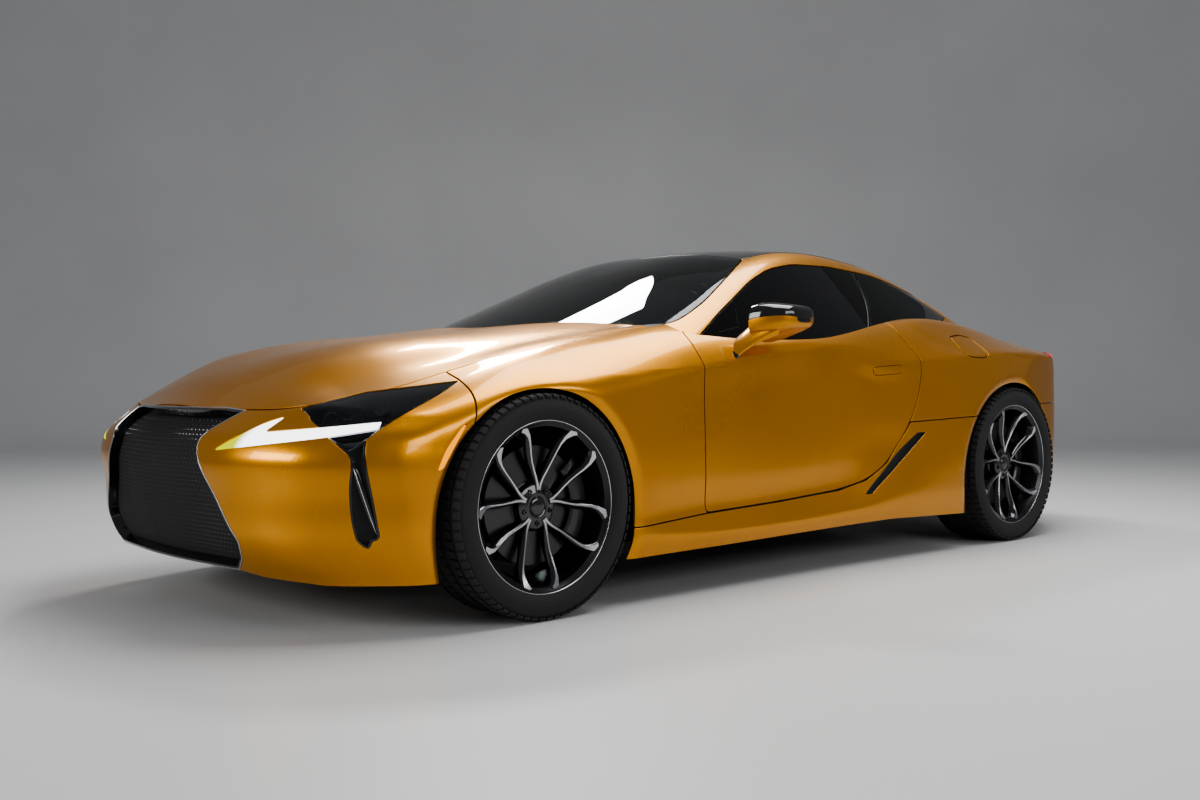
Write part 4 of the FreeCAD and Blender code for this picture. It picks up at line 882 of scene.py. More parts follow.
def skin(which, box, *keeps, centre=False, wall=14.0, edge=EDGE, lift=0.0, inner=None, rounds=1):
    """A closed panel cut from a form, as a part of a piece."""
    v, t = region(which, box, *keeps, rounds=rounds)
    if centre:
        v, t = both_sides(v, t)
    n = unit(slopes(FORMS[which], v, NORMAL_STEP))
    if callable(lift):
        lift = lift(v)[:, None]
    v = v + n * lift
    return *walled(v, t, n, wall, edge, None if inner is None else inner(v, n)), 0


def half_gap():
    """From an outline to the start of a panel's rounded edge, in mm."""
    return bpy.context.scene.coupe_body.gap / MM / 2 + EDGE


# Body panels

BONNET_BOX, HOUSE_BOX = ((700, 2350), (600, 1060)), ((-2000, 1200), (840, 1400))
FUEL_BOX, HANDLE_BOX = ((-1220, -940), (830, 1010)), ((-560, -270), (740, 870))
SLOT_BOX = ((-720, -220), (260, 570))
NOSE_BOX, TAIL_BOX = ((1600, 2450), (120, 830)), ((-2450, -1780), (760, 930))


def body_mould():
    """Panels in amber paint: name, box, what each keeps, whether it spans the middle, body, CAD nodes."""
    g = half_gap()
    house = lambda p: 5.0 - house_gap(p)
    front_arch = lambda p: EDGE - arch_gap(p, "front")
    rear_arch = lambda p: EDGE - arch_gap(p, "rear")
    not_bonnet, not_lamp = beyond(BONNET, g), beyond(HEADLAMP, 2.5)
    return (
        ("front_bumper", ((1690, 2450), (120, 800)),
         (within(FRONT_SPLIT, g), front_arch, above_line(NOSE_BOTTOM, EDGE), not_bonnet, not_lamp,
          beyond(DRL, 2.0), beyond(GRILLE, 2.0), beyond(DUCT, 2.0), beyond(MARKER, 1.8)), True, "shell",
         ("front_bumper",)),
        ("bonnet", BONNET_BOX,
         (within(BONNET, g), lambda p: 600 - p[:, 2], not_lamp), True, "bonnet", ("bonnet",)),
        ("front_wing", ((640, 1760), (230, 1060)),
         (beyond(FRONT_SPLIT, g), front_arch, not_bonnet, beyond(SILL, g), beyond(DOOR, g), beyond(COWL, g),
          beyond(SCREEN, 4), not_lamp, house), False, "shell", ("front_wing_{}",)),
        ("door", ((-680, 740), (270, 1080)),
         (within(DOOR, g), beyond(SLOT, 2.0), beyond(HANDLE, 2.0), house), False, "door_{}", ("door_{}",)),
        ("sill", ((-1200, 1120), (130, 640)),
         (within(SILL, g), front_arch, rear_arch, beyond(SLOT, 2.0), above_line(SILL_BOTTOM, EDGE)), False,
         "shell", ("sill_{}",)),
        ("rear_wing", ((-2400, -540), (560, 1120)),
         (beyond(DOOR, g), beyond(SILL, g), rear_arch, beyond(REAR_SPLIT, g), beyond(BOOT, g),
          beyond(REAR_COWL, 2), beyond(REAR_GLASS, 4), beyond(TAIL_LAMP, 2.0), house,
          lambda p: p[:, 0] + 540), False, "shell", ("rear_wing_{}",)),
        ("rear_bumper", ((-2450, -1400), (150, 680)),
         (within(REAR_SPLIT, g), rear_arch, beyond(BOOT_BACK, g), above_line(TAIL_BOTTOM, EDGE)), True,
         "shell", ("rear_bumper",)),
        ("boot_lid", ((-2450, -1550), (620, 1060)),
         (within(BOOT, g), lambda p: 650 + g - p[:, 2], beyond(TAIL_LAMP, 2.0)), True, "boot_lid",
         ("boot_lid",)),
    )


DOOR_DEPTH, DOOR_BELT = 806, 958


def door_inside(v, _):
    """The door leaf's inner face: upright, at the depth of the cabin's side and no higher than the belt."""
    return np.stack([v[:, 0], 0 * v[:, 1] + DOOR_DEPTH, np.minimum(v[:, 2], DOOR_BELT)], 1)


def number(name, description, default, **limits):
    return bpy.props.FloatProperty(name=name, description=description, default=default, **limits)


def colour(name, description, default):
    return bpy.props.FloatVectorProperty(name=name, description=description, default=default,
                                         subtype="COLOR", min=0, max=1)


class CoupeBody(bpy.types.PropertyGroup):
    """Sizes of the painted panels."""
    gap: number("Shut gap", "Width of the gap between two panels", 0.0045, min=0.002, max=0.008,
                unit="LENGTH")
    wall: number("Panel thickness", "How thick a panel looks at its edges", 0.014, min=0.004, max=0.03,
                 unit="LENGTH")


class CoupeFinish(bpy.types.PropertyGroup):
    """Colours of the car."""
    paint: colour("Paint", "Main colour of the body", (0.62, 0.262, 0.005))
    paint_deep: colour("Paint depth", "Second tone inside the paint", (0.54, 0.215, 0.003))
    glass: colour("Glass tint", "Colour of the side and rear glass", (0.03, 0.034, 0.036))
    leather: colour("Leather", "Colour of the seats", (0.028, 0.022, 0.019))


class CoupeStage(bpy.types.PropertyGroup):
    """The floor and the lights."""
    floor: colour("Floor", "Colour of the floor", (0.66, 0.66, 0.655))
    power: number("Light", "Strength that the share of each soft light is taken from", 300.0, min=0,
                  unit="POWER")
    surround: number("Surround", "Brightness of the room around the car", 0.26, min=0, max=3)


class COUPE_OT_panels(bpy.types.Operator):
    """Cut and thicken the painted panels: bumpers, bonnet, wings, doors, sills and boot lid"""
    bl_idname = "coupe.panels"
    bl_label = "Painted panels"

    def execute(self, context):
        wall = context.scene.coupe_body.wall / MM
        for name, box, keeps, centre, body, nodes in body_mould():
            inner = door_inside if name == "door" else None
            if centre:
                part = skin("body", box, *keeps, centre=True, wall=wall)
                piece(name, [part], body, [paint()], nodes)
                continue
            for side, sign in SIDES:
                extra = (beyond(FUEL, half_gap()),) if name == "rear_wing" and side == "left" else ()
                part = skin("body", box, *keeps, *extra, wall=wall, inner=inner)
                piece(f"{name}_{side}_skin", [flipped(part, sign)], body.format(side), [paint()],
                      [n.format(side) for n in nodes])
        lid = skin("body", FUEL_BOX, within(FUEL, half_gap()), wall=6.0, rounds=2)
        piece("fuel_lid_skin", [lid], "fuel_lid", [paint()], ["fuel_lid"])
        grip = skin("body", HANDLE_BOX, within(HANDLE, 3.2), wall=10.0, lift=1.5, rounds=2)
        pair("door_handle_{}", [grip], "door_{}", [paint()])
        return {"FINISHED"}


def outside_body(depth):
    """Keeps what lies above the crease and no deeper than this inside the lower body."""
    return lambda p: np.maximum(-depth - body_form(p), crease_height(p) + CREASE_CLEAR - p[:, 2])


class COUPE_OT_greenhouse(bpy.types.Operator):
    """Make the roof, the side rails, the pillars, the cowl and all the glass"""
    bl_idname = "coupe.greenhouse"
    bl_label = "Roof and glass"

    def execute(self, context):
        outside, in_door = outside_body(14.0), outside_body(40.0)
        g = 2.0 + EDGE
        tint = glass("tinted_side_glass", tuple(context.scene.coupe_finish.glass))
        clear = glass("windscreen_glass", (0.24, 0.27, 0.265))
        roof = skin("house", HOUSE_BOX, within(ROOF, g), centre=True, wall=9.0)
        piece("roof_panel", [roof], "shell", [gloss_black()], ["roof"])
        for name, line, material, node_name in (("windscreen_pane", SCREEN, clear, "windscreen"),
                                                ("rear_pane", REAR_GLASS, tint, "rear_glass")):
            pane = skin("house", HOUSE_BOX, within(line, g), outside, centre=True, wall=5.0, edge=1.0)
            piece(name, [pane], "shell", [material], [node_name])
            rim = skin("house", HOUSE_BOX, within(line, g + 2), beyond(line, -42.0), outside, centre=True,
                       wall=1.5, edge=0.5, lift=-5.8)
            piece(name + "_border", [rim], "shell", [gloss_black()])
        side_rail = skin("house", HOUSE_BOX, beyond(SCREEN, g), beyond(ROOF, g), beyond(REAR_GLASS, g),
                         beyond(WINDOW, g), outside, wall=16.0)
        pair("side_rail_{}", [side_rail], "shell", [paint()], ["side_frame_{}"])
        surround = skin("house", HOUSE_BOX, beyond(DOOR_GLASS, 1.5), beyond(QUARTER, 1.5), within(WINDOW, g),
                        beyond(REAR_GLASS, g), outside, wall=8.0, lift=-3.0)
        pair("window_surround_{}", [surround], "shell", [gloss_black()])
        for name, line, body in (("door_glass", DOOR_GLASS, "door_{}"), ("quarter_glass", QUARTER, "shell")):
            pane = skin("house", HOUSE_BOX, within(line, 2.6), in_door, wall=4.5, edge=0.8, lift=-1.5)
            pair(name + "_{}_pane", [pane], body, [tint], [name + "_{}"])
        cowl = skin("body", ((500, 1100), (900, 1060)), within(COWL, half_gap()), beyond(BONNET, half_gap()),
                    lambda p: -30.0 - house_form(p), centre=True, wall=8.0, lift=-5.0)
        piece("cowl_panel", [cowl], "shell", [satin_black()], ["cowl"])
        back = skin("body", ((-1760, -1440), (880, 1060)), within(REAR_COWL, 3.6), beyond(BOOT, half_gap()),
                    lambda p: -40.0 - house_form(p), centre=True, wall=8.0, lift=-3.0)
        piece("rear_cowl_panel", [back], "shell", [satin_black()], ["rear_cowl"])
        return {"FINISHED"}


# Turned, swept and repeated shapes

def revolve(profile, steps=96, closed=True):
    """A profile of (radius, along) turned about the Y axis, as points and four-sided faces."""
    profile = np.array(profile, float)
    turn = np.radians(np.arange(steps) * 360 / steps)
    n = len(profile)
    v = np.stack([np.outer(np.cos(turn), profile[:, 0]), np.broadcast_to(profile[:, 1], (steps, n)),
                  np.outer(np.sin(turn), profile[:, 0])], -1).reshape(-1, 3)
    i, j = np.meshgrid(np.arange(steps), np.arange(n if closed else n - 1), indexing="ij")
    a, b = i * n + j, i * n + (j + 1) % n
    c, d = (i + 1) % steps * n + (j + 1) % n, (i + 1) % steps * n + j
    return v, np.stack([a, b, c, d], -1).reshape(-1, 4)


def loft(rings):
    """Closed rings of equal length joined into a skin, with capped ends."""
    rings = np.array(rings, float)
    m, n = rings.shape[:2]
    i, j = np.meshgrid(np.arange(m - 1), np.arange(n), indexing="ij")
    a, b = i * n + j, i * n + (j + 1) % n
    faces = [list(f) for f in np.stack([a, b, b + n, a + n], -1).reshape(-1, 4)]
    return rings.reshape(-1, 3), faces + [list(range(n))[::-1], [(m - 1) * n + k for k in range(n)]]


def swept(path, radii, sides=14, squash=1.0, up=(0, 0, 1)):
    """A round or oval tube along a path."""
    path = np.array(path, float)
    radii = np.broadcast_to(np.array(radii, float), len(path))
    ahead = unit(np.gradient(path, axis=0))
    across = unit(np.cross(ahead, np.broadcast_to(np.array(up, float), ahead.shape)))
    above = np.cross(across, ahead)
    turn = np.radians(np.arange(sides) * 360 / sides)
    rings = [p + r * (np.outer(np.cos(turn), a) + squash * np.outer(np.sin(turn), b))
             for p, r, a, b in zip(path, radii, across, above)]
    return loft(rings)


def ball(centre, half, power=2.0, rows=20, cols=32):
    """A closed rounded form: round at power 2 and boxier above it."""
    def bulge(a):
        return np.sign(a) * np.abs(a) ** (2.0 / power)

    tilt = np.linspace(-math.pi / 2, math.pi / 2, rows)[1:-1]
    turn = np.arange(cols) * 2 * math.pi / cols
    a, b = np.meshgrid(tilt, turn, indexing="ij")
    flat = bulge(np.cos(a))
    v = np.stack([flat * bulge(np.cos(b)), flat * bulge(np.sin(b)), bulge(np.sin(a))], -1)
    v = np.concatenate([v.reshape(-1, 3), [(0, 0, -1), (0, 0, 1)]]) * half + centre
    m = rows - 2
    faces = [[i * cols + j, i * cols + (j + 1) % cols, (i + 1) * cols + (j + 1) % cols, (i + 1) * cols + j]
             for i in range(m - 1) for j in range(cols)]
    faces += [[m * cols, (j + 1) % cols, j] for j in range(cols)]
    faces += [[m * cols + 1, (m - 1) * cols + j, (m - 1) * cols + (j + 1) % cols] for j in range(cols)]
    return v, faces


def slab(centre, half, round_by=6.0):
    """A block with softened edges."""
    centre, half = np.array(centre, float), np.array(half, float)
    r = min(round_by, half.min() * 0.95)
    rings = []
    for z, inset in ((-half[2], r), (-half[2] + r * 0.3, r * 0.3), (-half[2] + r, 0), (half[2] - r, 0),
                     (half[2] - r * 0.3, r * 0.3), (half[2], r)):
        ring = []
        for sx, sy, start in ((1, 1, 0), (-1, 1, 90), (-1, -1, 180), (1, -1, 270)):
            for turn in (0, 30, 60, 90):
                a = math.radians(start + turn)
                ring.append((sx * (half[0] - r) + (r - inset) * math.cos(a),
                             sy * (half[1] - r) + (r - inset) * math.sin(a), z))
        rings.append(ring)
    v, faces = loft(rings)
    return v + centre, faces


def instances(tree, given, points, **how):
    """Copies of the given piece on points."""
    shape = node(tree, "GeometryNodeObjectInfo", {"Object": given["Piece"]})
    return node(tree, "GeometryNodeInstanceOnPoints", {"Points": points.outputs[0],
                                                       "Instance": shape.outputs["Geometry"], **how})


def ended(tree, given, outside, copies):
    """A tree ended by making copies real and giving them the given material."""
    real = node(tree, "GeometryNodeRealizeInstances", {0: copies.outputs[0]})
    made = node(tree, "GeometryNodeSetMaterial", {"Geometry": real.outputs[0],
                                                  "Material": given["Material"]})
    tree.links.new(made.outputs[0], outside.inputs[0])
    return tree


GEOMETRY_IN, GEOMETRY_OUT = ("Geometry", "Geometry", None), (("Geometry", "Geometry"),)


def copies_tree():
    """A geometry tree that turns copies of a piece about an axle and sets their material."""
    name = "copies_round_axle"
    if name in bpy.data.node_groups:
        return bpy.data.node_groups[name]
    tree, given, outside = new_tree(name, "GeometryNodeTree", (
        GEOMETRY_IN, ("Piece", "Object", None), ("Count", "Int", 5), ("Start Turn", "Float", 0.0),
        ("Step Turn", "Float", 1.2566), ("Centre", "Vector", (0, 0, 0)), ("Material", "Material", None)),
        GEOMETRY_OUT)
    points = node(tree, "GeometryNodePoints", {"Count": given["Count"]})
    index = node(tree, "GeometryNodeInputIndex")
    turned = node(tree, "ShaderNodeMath", {0: index.outputs[0], 1: given["Step Turn"],
                                           2: given["Start Turn"]}, operation="MULTIPLY_ADD")
    about = node(tree, "ShaderNodeCombineXYZ", {"Y": turned.outputs[0]})
    spread = instances(tree, given, points, Rotation=about.outputs[0])
    moved = node(tree, "GeometryNodeTransform", {"Geometry": spread.outputs[0],
                                                 "Translation": given["Centre"]})
    return ended(tree, given, outside, moved)


def grown(tree, values, name):
    """The plain mesh that a geometry tree makes with these named inputs."""
    holder = bpy.data.objects.new(name + "_seed", bpy.data.meshes.new(name + "_seed"))
    bpy.context.scene.collection.objects.link(holder)
    modifier = holder.modifiers.new("build", "NODES")
    modifier.node_group = tree
    for item in tree.interface.items_tree:
        if item.item_type == "SOCKET" and item.in_out == "INPUT" and item.name in values:
            modifier[item.identifier] = values[item.name]
    graph = bpy.context.evaluated_depsgraph_get()
    mesh = bpy.data.meshes.new_from_object(holder.evaluated_get(graph), preserve_all_data_layers=True,
                                           depsgraph=graph)
    mesh.name = name
    bpy.data.objects.remove(holder)
    if not len(mesh.polygons):
        raise RuntimeError(f"{name} came out empty")
    return mesh


def pattern_piece(part, name):
    """An object that a geometry tree copies or aims at; it is removed once the copies are made."""
    v, faces = part[:2]
    mesh = bpy.data.meshes.new(name)
    mesh.from_pydata((np.array(v) * MM).tolist(), [], [list(map(int, f)) for f in faces])
    mesh.polygons.foreach_set("use_smooth", [True] * len(faces))
    made = bpy.data.objects.new(name, mesh)
    bpy.context.scene.collection.objects.link(made)
    return made


def round_axle(name, part, count, start, centre, material, body, sharp):
    """A piece of equal copies of a part, turned about an axle from a start angle."""
    seed = pattern_piece(part, name + "_pattern")
    mesh = grown(copies_tree(), {"Piece": seed, "Count": count, "Start Turn": start,
                                 "Step Turn": 2 * math.pi / count, "Centre": tuple(centre * MM),
                                 "Material": material}, name)
    placed(mesh, body, sharp=sharp)
    bpy.data.objects.remove(seed)


# Wheels

# Each wheel's corner, centre along and across, radius, half width and the body that carries it.
WHEELS = (("front_left", 1460, 815, 365, 123, "steered_left"),
          ("front_right", 1460, -815, 365, 123, "steered_right"),
          ("rear_left", -1410, 817.5, 363, 137, "shell"), ("rear_right", -1410, -817.5, 363, 137, "shell"))
RIM, SPOKES, TREADS = 281, 5, 72
# A spoke arm's line: distance out, turn from its pair's axis, how far back its face lies, half
# width of its bright face, half width of its root, and its depth.
ARM = table("""
 52 3 -46 4.6 12 28
 70 5 -46 4.4 12 30
 92 9 -45 3.8 13 30
120 13.5 -42 3.2 14 26
150 16 -38 2.9 15 19
182 17 -31 3.0 16 18
212 17.6 -23 3.8 17 20
236 19 -15 6.0 19 30
256 21.6 -8 10 24 34
271 24.2 -4 15 29 36
""")
# Where the first pair points, in degrees up from the back, and the turn of the first nut in radians.
PAIR_TURN, NUT_TURN = 86, 0.3


def arm_lines(sign, face_y):
    """Centre line, sideways direction and sizes of one arm, in the wheel's plane."""
    r, turn, back, bright, root, depth = ARM.T
    a = np.radians(PAIR_TURN + sign * turn)
    line = np.stack([-r * np.cos(a), face_y + back, r * np.sin(a)], 1)
    ahead = unit(np.gradient(line * (1, 0, 1), axis=0))
    side = np.stack([ahead[:, 2], 0 * r, -ahead[:, 0]], 1)
    return line, side, bright, root, depth


def spoke_arm(sign, face_y):
    """The dark blade of an arm."""
    back = np.array((0, -1, 0))
    rings = []
    for p, s, b, w, d in zip(*arm_lines(sign, face_y)):
        section = [(-b, 0.6), (b, 0.6), (b + 2.5, 2.5), (w * 0.8, d * 0.5), (w, d), (w * 0.5, d + 3),
                   (-w * 0.5, d + 3), (-w, d), (-w * 0.8, d * 0.5), (-b - 2.5, 2.5)]
        rings.append([p + s * across + back * down for across, down in section])
    return loft(rings)


def spoke_bright(sign, face_y):
    """The bright machined face that runs along an arm."""
    rings = []
    for p, s, b in zip(*arm_lines(sign, face_y)[:3]):
        section = [(-b, -1.5), (-b, 0.4), (-b + 0.8, 1.0), (b - 0.8, 1.0), (b, 0.4), (b, -1.5)]
        rings.append([p + s * across + np.array((0, up, 0)) for across, up in section])
    return loft(rings)


def joined(*parts):
    """Several (points, faces) as one."""
    points, faces, start = [], [], 0
    for v, f in parts:
        points.append(np.asarray(v, float))
        faces += [[int(i) + start for i in face] for face in f]
        start += len(v)
    return np.concatenate(points), faces


def outward(part):
    """Closed parts turned so that their faces point outwards, each loose part on its own."""
    v, faces = part
    work = bmesh.new()
    made = [work.verts.new(p) for p in v]
    for face in faces:
        work.faces.new([made[i] for i in face])
    bmesh.ops.recalc_face_normals(work, faces=work.faces)
    work.verts.index_update()
    faces = [[q.index for q in f.verts] for f in work.faces]
    work.free()
    return v, faces


def solid(part, kind=0):
    """Closed points and faces as a part of a piece."""
    return *outward(part), None, kind


def tyre_profile(half, radius):
    """The tyre's closed section: bead, bulging wall, shoulder and a base for the tread blocks."""
    wall = [(RIM + out, half - back) for out, back in
            ((-12, 24), (-4, 19), (1, 13), (5, 7.5), (7, 7), (9, 4.5), (20, 1.6), (34, 0.2), (38, 0.3))]
    wall += [(radius - out, half - back) for out, back in
             ((30, 3), (18, 8), (11, 13.5), (7.5, 19), (6.5, 30))]
    wall += [(radius - 6.2, half * s) for s in (0.5, 0.2)]
    return wall + [(r, -y) for r, y in wall[::-1]] + [(RIM - 20, -(half - 30)), (RIM - 20, half - 30)]


# The rows of tread blocks: place and width as shares of the half width, how much of a pitch a
# block fills, and its lean. Then a block's layers: depth below the tread and how far each draws in.
TREAD_ROWS = ((0.86, 0.20, 0.76, 0.10), (0.50, 0.24, 0.80, 0.18), (0.0, 0.20, 0.9, 0.0))
TREAD_LAYERS = ((8, 0), (1.3, 0.2), (0, 1.6))


def tread_pitch(half, radius):
    """One pitch of the tread: shoulder blocks, two ribs of blocks and a centre rib."""
    parts = []
    step = 2 * math.pi / TREADS
    for place, width, fill, lean in TREAD_ROWS:
        for side in ((1, -1) if place else (1,)):
            low, high = half * (place - width / 2) * side, half * (place + width / 2) * side
            rings = []
            for depth, pull in TREAD_LAYERS:
                ring = []
                for y, turn in ((low, -1), (high, -1), (high, 0), (high, 1), (low, 1), (low, 0)):
                    share = abs(y) / half
                    r = radius - depth - 10 * max(0, share - 0.80) ** 1.4 * 7
                    a = step * fill / 2 * turn + lean * step * (share - place) * 2 - turn * pull / radius
                    inward = pull if abs(y) == abs(low) else -pull
                    ring.append((r * math.sin(a), y + inward * side, r * math.cos(a)))
                rings.append(ring)
            parts.append(loft(rings))
    return outward(joined(*parts))


def rim_profile(face):
    """The rim's closed section: front lip, drop to the well, barrel and back lip, and back inside."""
    front = ((0, 2), (0, -4), (-3, -9), (-14, -14), (-20, -30), (-24, -70))
    back = ((-34, 40), (-18, 14), (-3, 8), (0, 0), (-6, -1), (-12, 6), (-24, 16), (-42, 40))
    inside = ((-33, -66), (-28, -30), (-22, -10), (-12, -3), (-8, 1), (-4, 3))
    return ([(RIM + r, face + y) for r, y in front] + [(RIM - 40, 10)]
            + [(RIM + r, y - face) for r, y in back] + [(RIM - 47, 10)]
            + [(RIM + r, face + y) for r, y in inside])


FLANGE = ((-0.5, 2.5), (-1.5, 3.8), (-3, 4.2), (-4.5, 3.4), (-5.5, 1), (-4, 0))
CALIPER = ((152, 44), (160, 50), (204, 50), (218, 44), (218, -4), (210, -12), (160, -12), (152, -8),
           (152, 0), (199, 0), (199, 32), (152, 32))


class COUPE_OT_wheels(bpy.types.Operator):
    """Build the tyres, rims, brake discs and calipers"""
    bl_idname = "coupe.wheels"
    bl_label = "Wheels and brakes"

    def execute(self, context):
        rubber = finish_of("tyre_rubber", (0.012, 0.012, 0.012), (0.02, 0.019, 0.018), (0.62, 0.78), 0.0012,
                           bump=0.4)
        dark = finish_of("wheel_gloss_black", (0.008, 0.008, 0.009), rough=(0.12, 0.18), grain=0.002,
                         bump=0.02, Metallic=0.3, Coat_Weight=1.0)
        bright = finish_of("wheel_machined_face", (0.56, 0.56, 0.57), (0.48, 0.48, 0.49), (0.14, 0.24),
                           0.0008, bump=0.12, Metallic=1.0)
        barrel_metal = finish_of("wheel_barrel", (0.05, 0.05, 0.053), rough=(0.22, 0.32), grain=0.0015,
                                 bump=0.08, Metallic=0.9)
        disc_metal = finish_of("brake_disc", (0.09, 0.09, 0.093), (0.06, 0.059, 0.058), (0.28, 0.4), 0.0006,
                               bump=0.2, Metallic=1.0)
        caliper_paint = finish_of("caliper_paint", (0.014, 0.014, 0.015), rough=(0.3, 0.42), bump=0.15,
                                  Coat_Weight=0.5)
        cast = finish_of("cast_hub", (0.10, 0.10, 0.105), (0.07, 0.07, 0.07), (0.45, 0.6), 0.002, bump=0.4,
                         Metallic=0.8)
        for corner, x, y, radius, half, hub_body in WHEELS:
            side = 1 if y > 0 else -1
            body = f"wheel_{corner}"
            face = half - 18
            centre = np.array((x, y, radius), float)

            def fitted(part, kind=0, where=centre, side=side):
                """A part drawn for a wheel at the origin on the left, set at this corner."""
                v, faces = part
                return solid((np.asarray(v, float) * (1, side, 1) + where, faces), kind)

            carcass = fitted(revolve(tyre_profile(half, radius), 144))
            piece(f"tyre_{corner}_carcass", [carcass], body, [rubber], [f"tyre_{corner}"], 40)
            round_axle(f"tyre_{corner}_tread", tread_pitch(half, radius), TREADS, 0.0, centre, rubber, body,
                       30)
            piece(f"rim_{corner}_barrel", [fitted(revolve(rim_profile(face), 144))], body, [barrel_metal],
                  [f"rim_{corner}"], 35)
            flange = revolve([(RIM + r, face + along) for r, along in FLANGE], 144)
            piece(f"rim_{corner}_bright_lip", [fitted(flange)], body, [bright])
            for label, maker, material in (("arms", spoke_arm, dark), ("faces", spoke_bright, bright)):
                arms = fitted(joined(maker(1, face), maker(-1, face)), where=0)
                round_axle(f"rim_{corner}_{label}", arms, SPOKES, 0.0, centre, material, body,
                           32)
            hub = revolve([(r, face - back) for r, back in (
                (0.01, 50), (30, 50), (34, 47), (44, 46), (50, 49), (64, 49), (74, 54), (78, 62), (78, 74),
                (60, 78), (0.01, 78))], 72, closed=False)
            cap = revolve([(r, face - back) for r, back in (
                (0.01, 42.5), (18, 43), (27, 44.5), (30, 47), (30.5, 52), (0.01, 52))], 48, closed=False)
            piece(f"rim_{corner}_hub", [fitted(joined(hub, cap))], body, [dark], sharp=35)
            nut = loft([[(57 + r * math.cos(a), face - 66 + h, r * math.sin(a))
                         for a in np.radians(np.arange(0, 360, 60))]
                        for r, h in ((9.5, 0), (9.5, 20), (8.2, 22.5), (5.2, 22.5), (5.0, 16))])
            round_axle(f"rim_{corner}_nuts", fitted(nut, where=0), SPOKES, NUT_TURN, centre, dark, body,
                       30)
            disc = revolve([(84, 28), (194, 28), (196, 26), (196, 6), (194, 4), (84, 4)], 120)
            bell = revolve([(26, face - 79), (72, face - 79), (80, face - 83), (84, 29), (84, 3), (78, 3),
                            (76, face - 88), (26, face - 86)], 72)
            piece(f"brake_disc_{corner}", [fitted(disc), fitted(bell)], body, [disc_metal],
                  sharp=35)
            caliper = loft([[(r * math.cos(a), along, r * math.sin(a)) for r, along in CALIPER]
                            for a in np.radians(np.arange(136, 225, 4))])
            post, bracket = slab((0, -26, 0), (22, 18, 168), 8), slab((-105, -20, 0), (66, 9, 38), 5)
            spindle = revolve([(0.01, face - 87), (24, face - 87), (24, -8), (60, -14), (60, -30),
                               (0.01, -30)], 40, closed=False)
            piece(f"upright_{corner}", [fitted(caliper)] + [fitted(p, 1) for p in (post, spindle, bracket)],
                  hub_body, [caliper_paint, cast], [f"knuckle_{corner}"], 35)
        return {"FINISHED"}


# Lamps, grille and trim

def bowl(gap, least, most, slope):
    """A lift that sinks a sheet below the skin: a little at an outline's edge and more inside it."""
    return lambda v: -np.clip(least - slope * gap(v), least, most)


def aimed(part, centre, way):
    """A part that was turned about the Y axis, moved so that its axis points another way."""
    v, faces = part
    way = np.array(way, float) / np.linalg.norm(way)
    side = np.cross(way, (0, 0, 1))
    side /= np.linalg.norm(side)
    up = np.cross(side, way)
    v = np.asarray(v, float)
    return np.asarray(centre) + v[:, :1] * side + v[:, 1:2] * way + v[:, 2:] * up, faces


def settled(x, y, z):
    """A place moved along the slope onto the lower body, with its outward direction."""
    p = np.array([(x, y, z)], float)
    for _ in range(3):
        p = settle(body_form, p)
    return p[0], unit(slopes(body_form, p))[0]


# The projectors: a place near the skin and a radius, with the sections of their rings and domes.
PROJECTORS = ((2106, 690, 646, 19), (2040, 728, 664, 21), (1966, 748, 686, 19))
BEZEL = ((2, -22), (4.5, -20), (5, 2), (3, 4), (1, 2), (0, -6), (0, -20))
DOME_BULGE = 0.42


def projector(x, y, z, r):
    """A projector's ring and its domed lens, set back below the skin and aimed mostly ahead."""
    p, n = settled(x, y, z)
    way = np.array((n[0] * 0.8 + 0.35, n[1] * 0.9, n[2] * 0.5 - 0.02))
    way /= np.linalg.norm(way)
    spot = p - n * (r * 0.4 + 10)
    ring = [(r + out, along) for out, along in BEZEL]
    dome = [(r - 0.5, -7), (r - 0.5, -3)]
    dome += [((r - 0.5) * math.cos(a), -3 + r * DOME_BULGE * math.sin(a))
             for a in np.radians((20, 40, 60, 78))]
    dome += [(0.01, -3 + r * DOME_BULGE), (0.01, -7)]
    return [(*aimed(outward(revolve(line, 40, closed)), spot, way), None, 0)
            for line, closed in ((ring, True), (dome, False))]


def glow_line(p):
    """Keeps a thin line inside the tail lamp's outline."""
    return np.abs(TAIL_LAMP(p) + 13) - 3.2


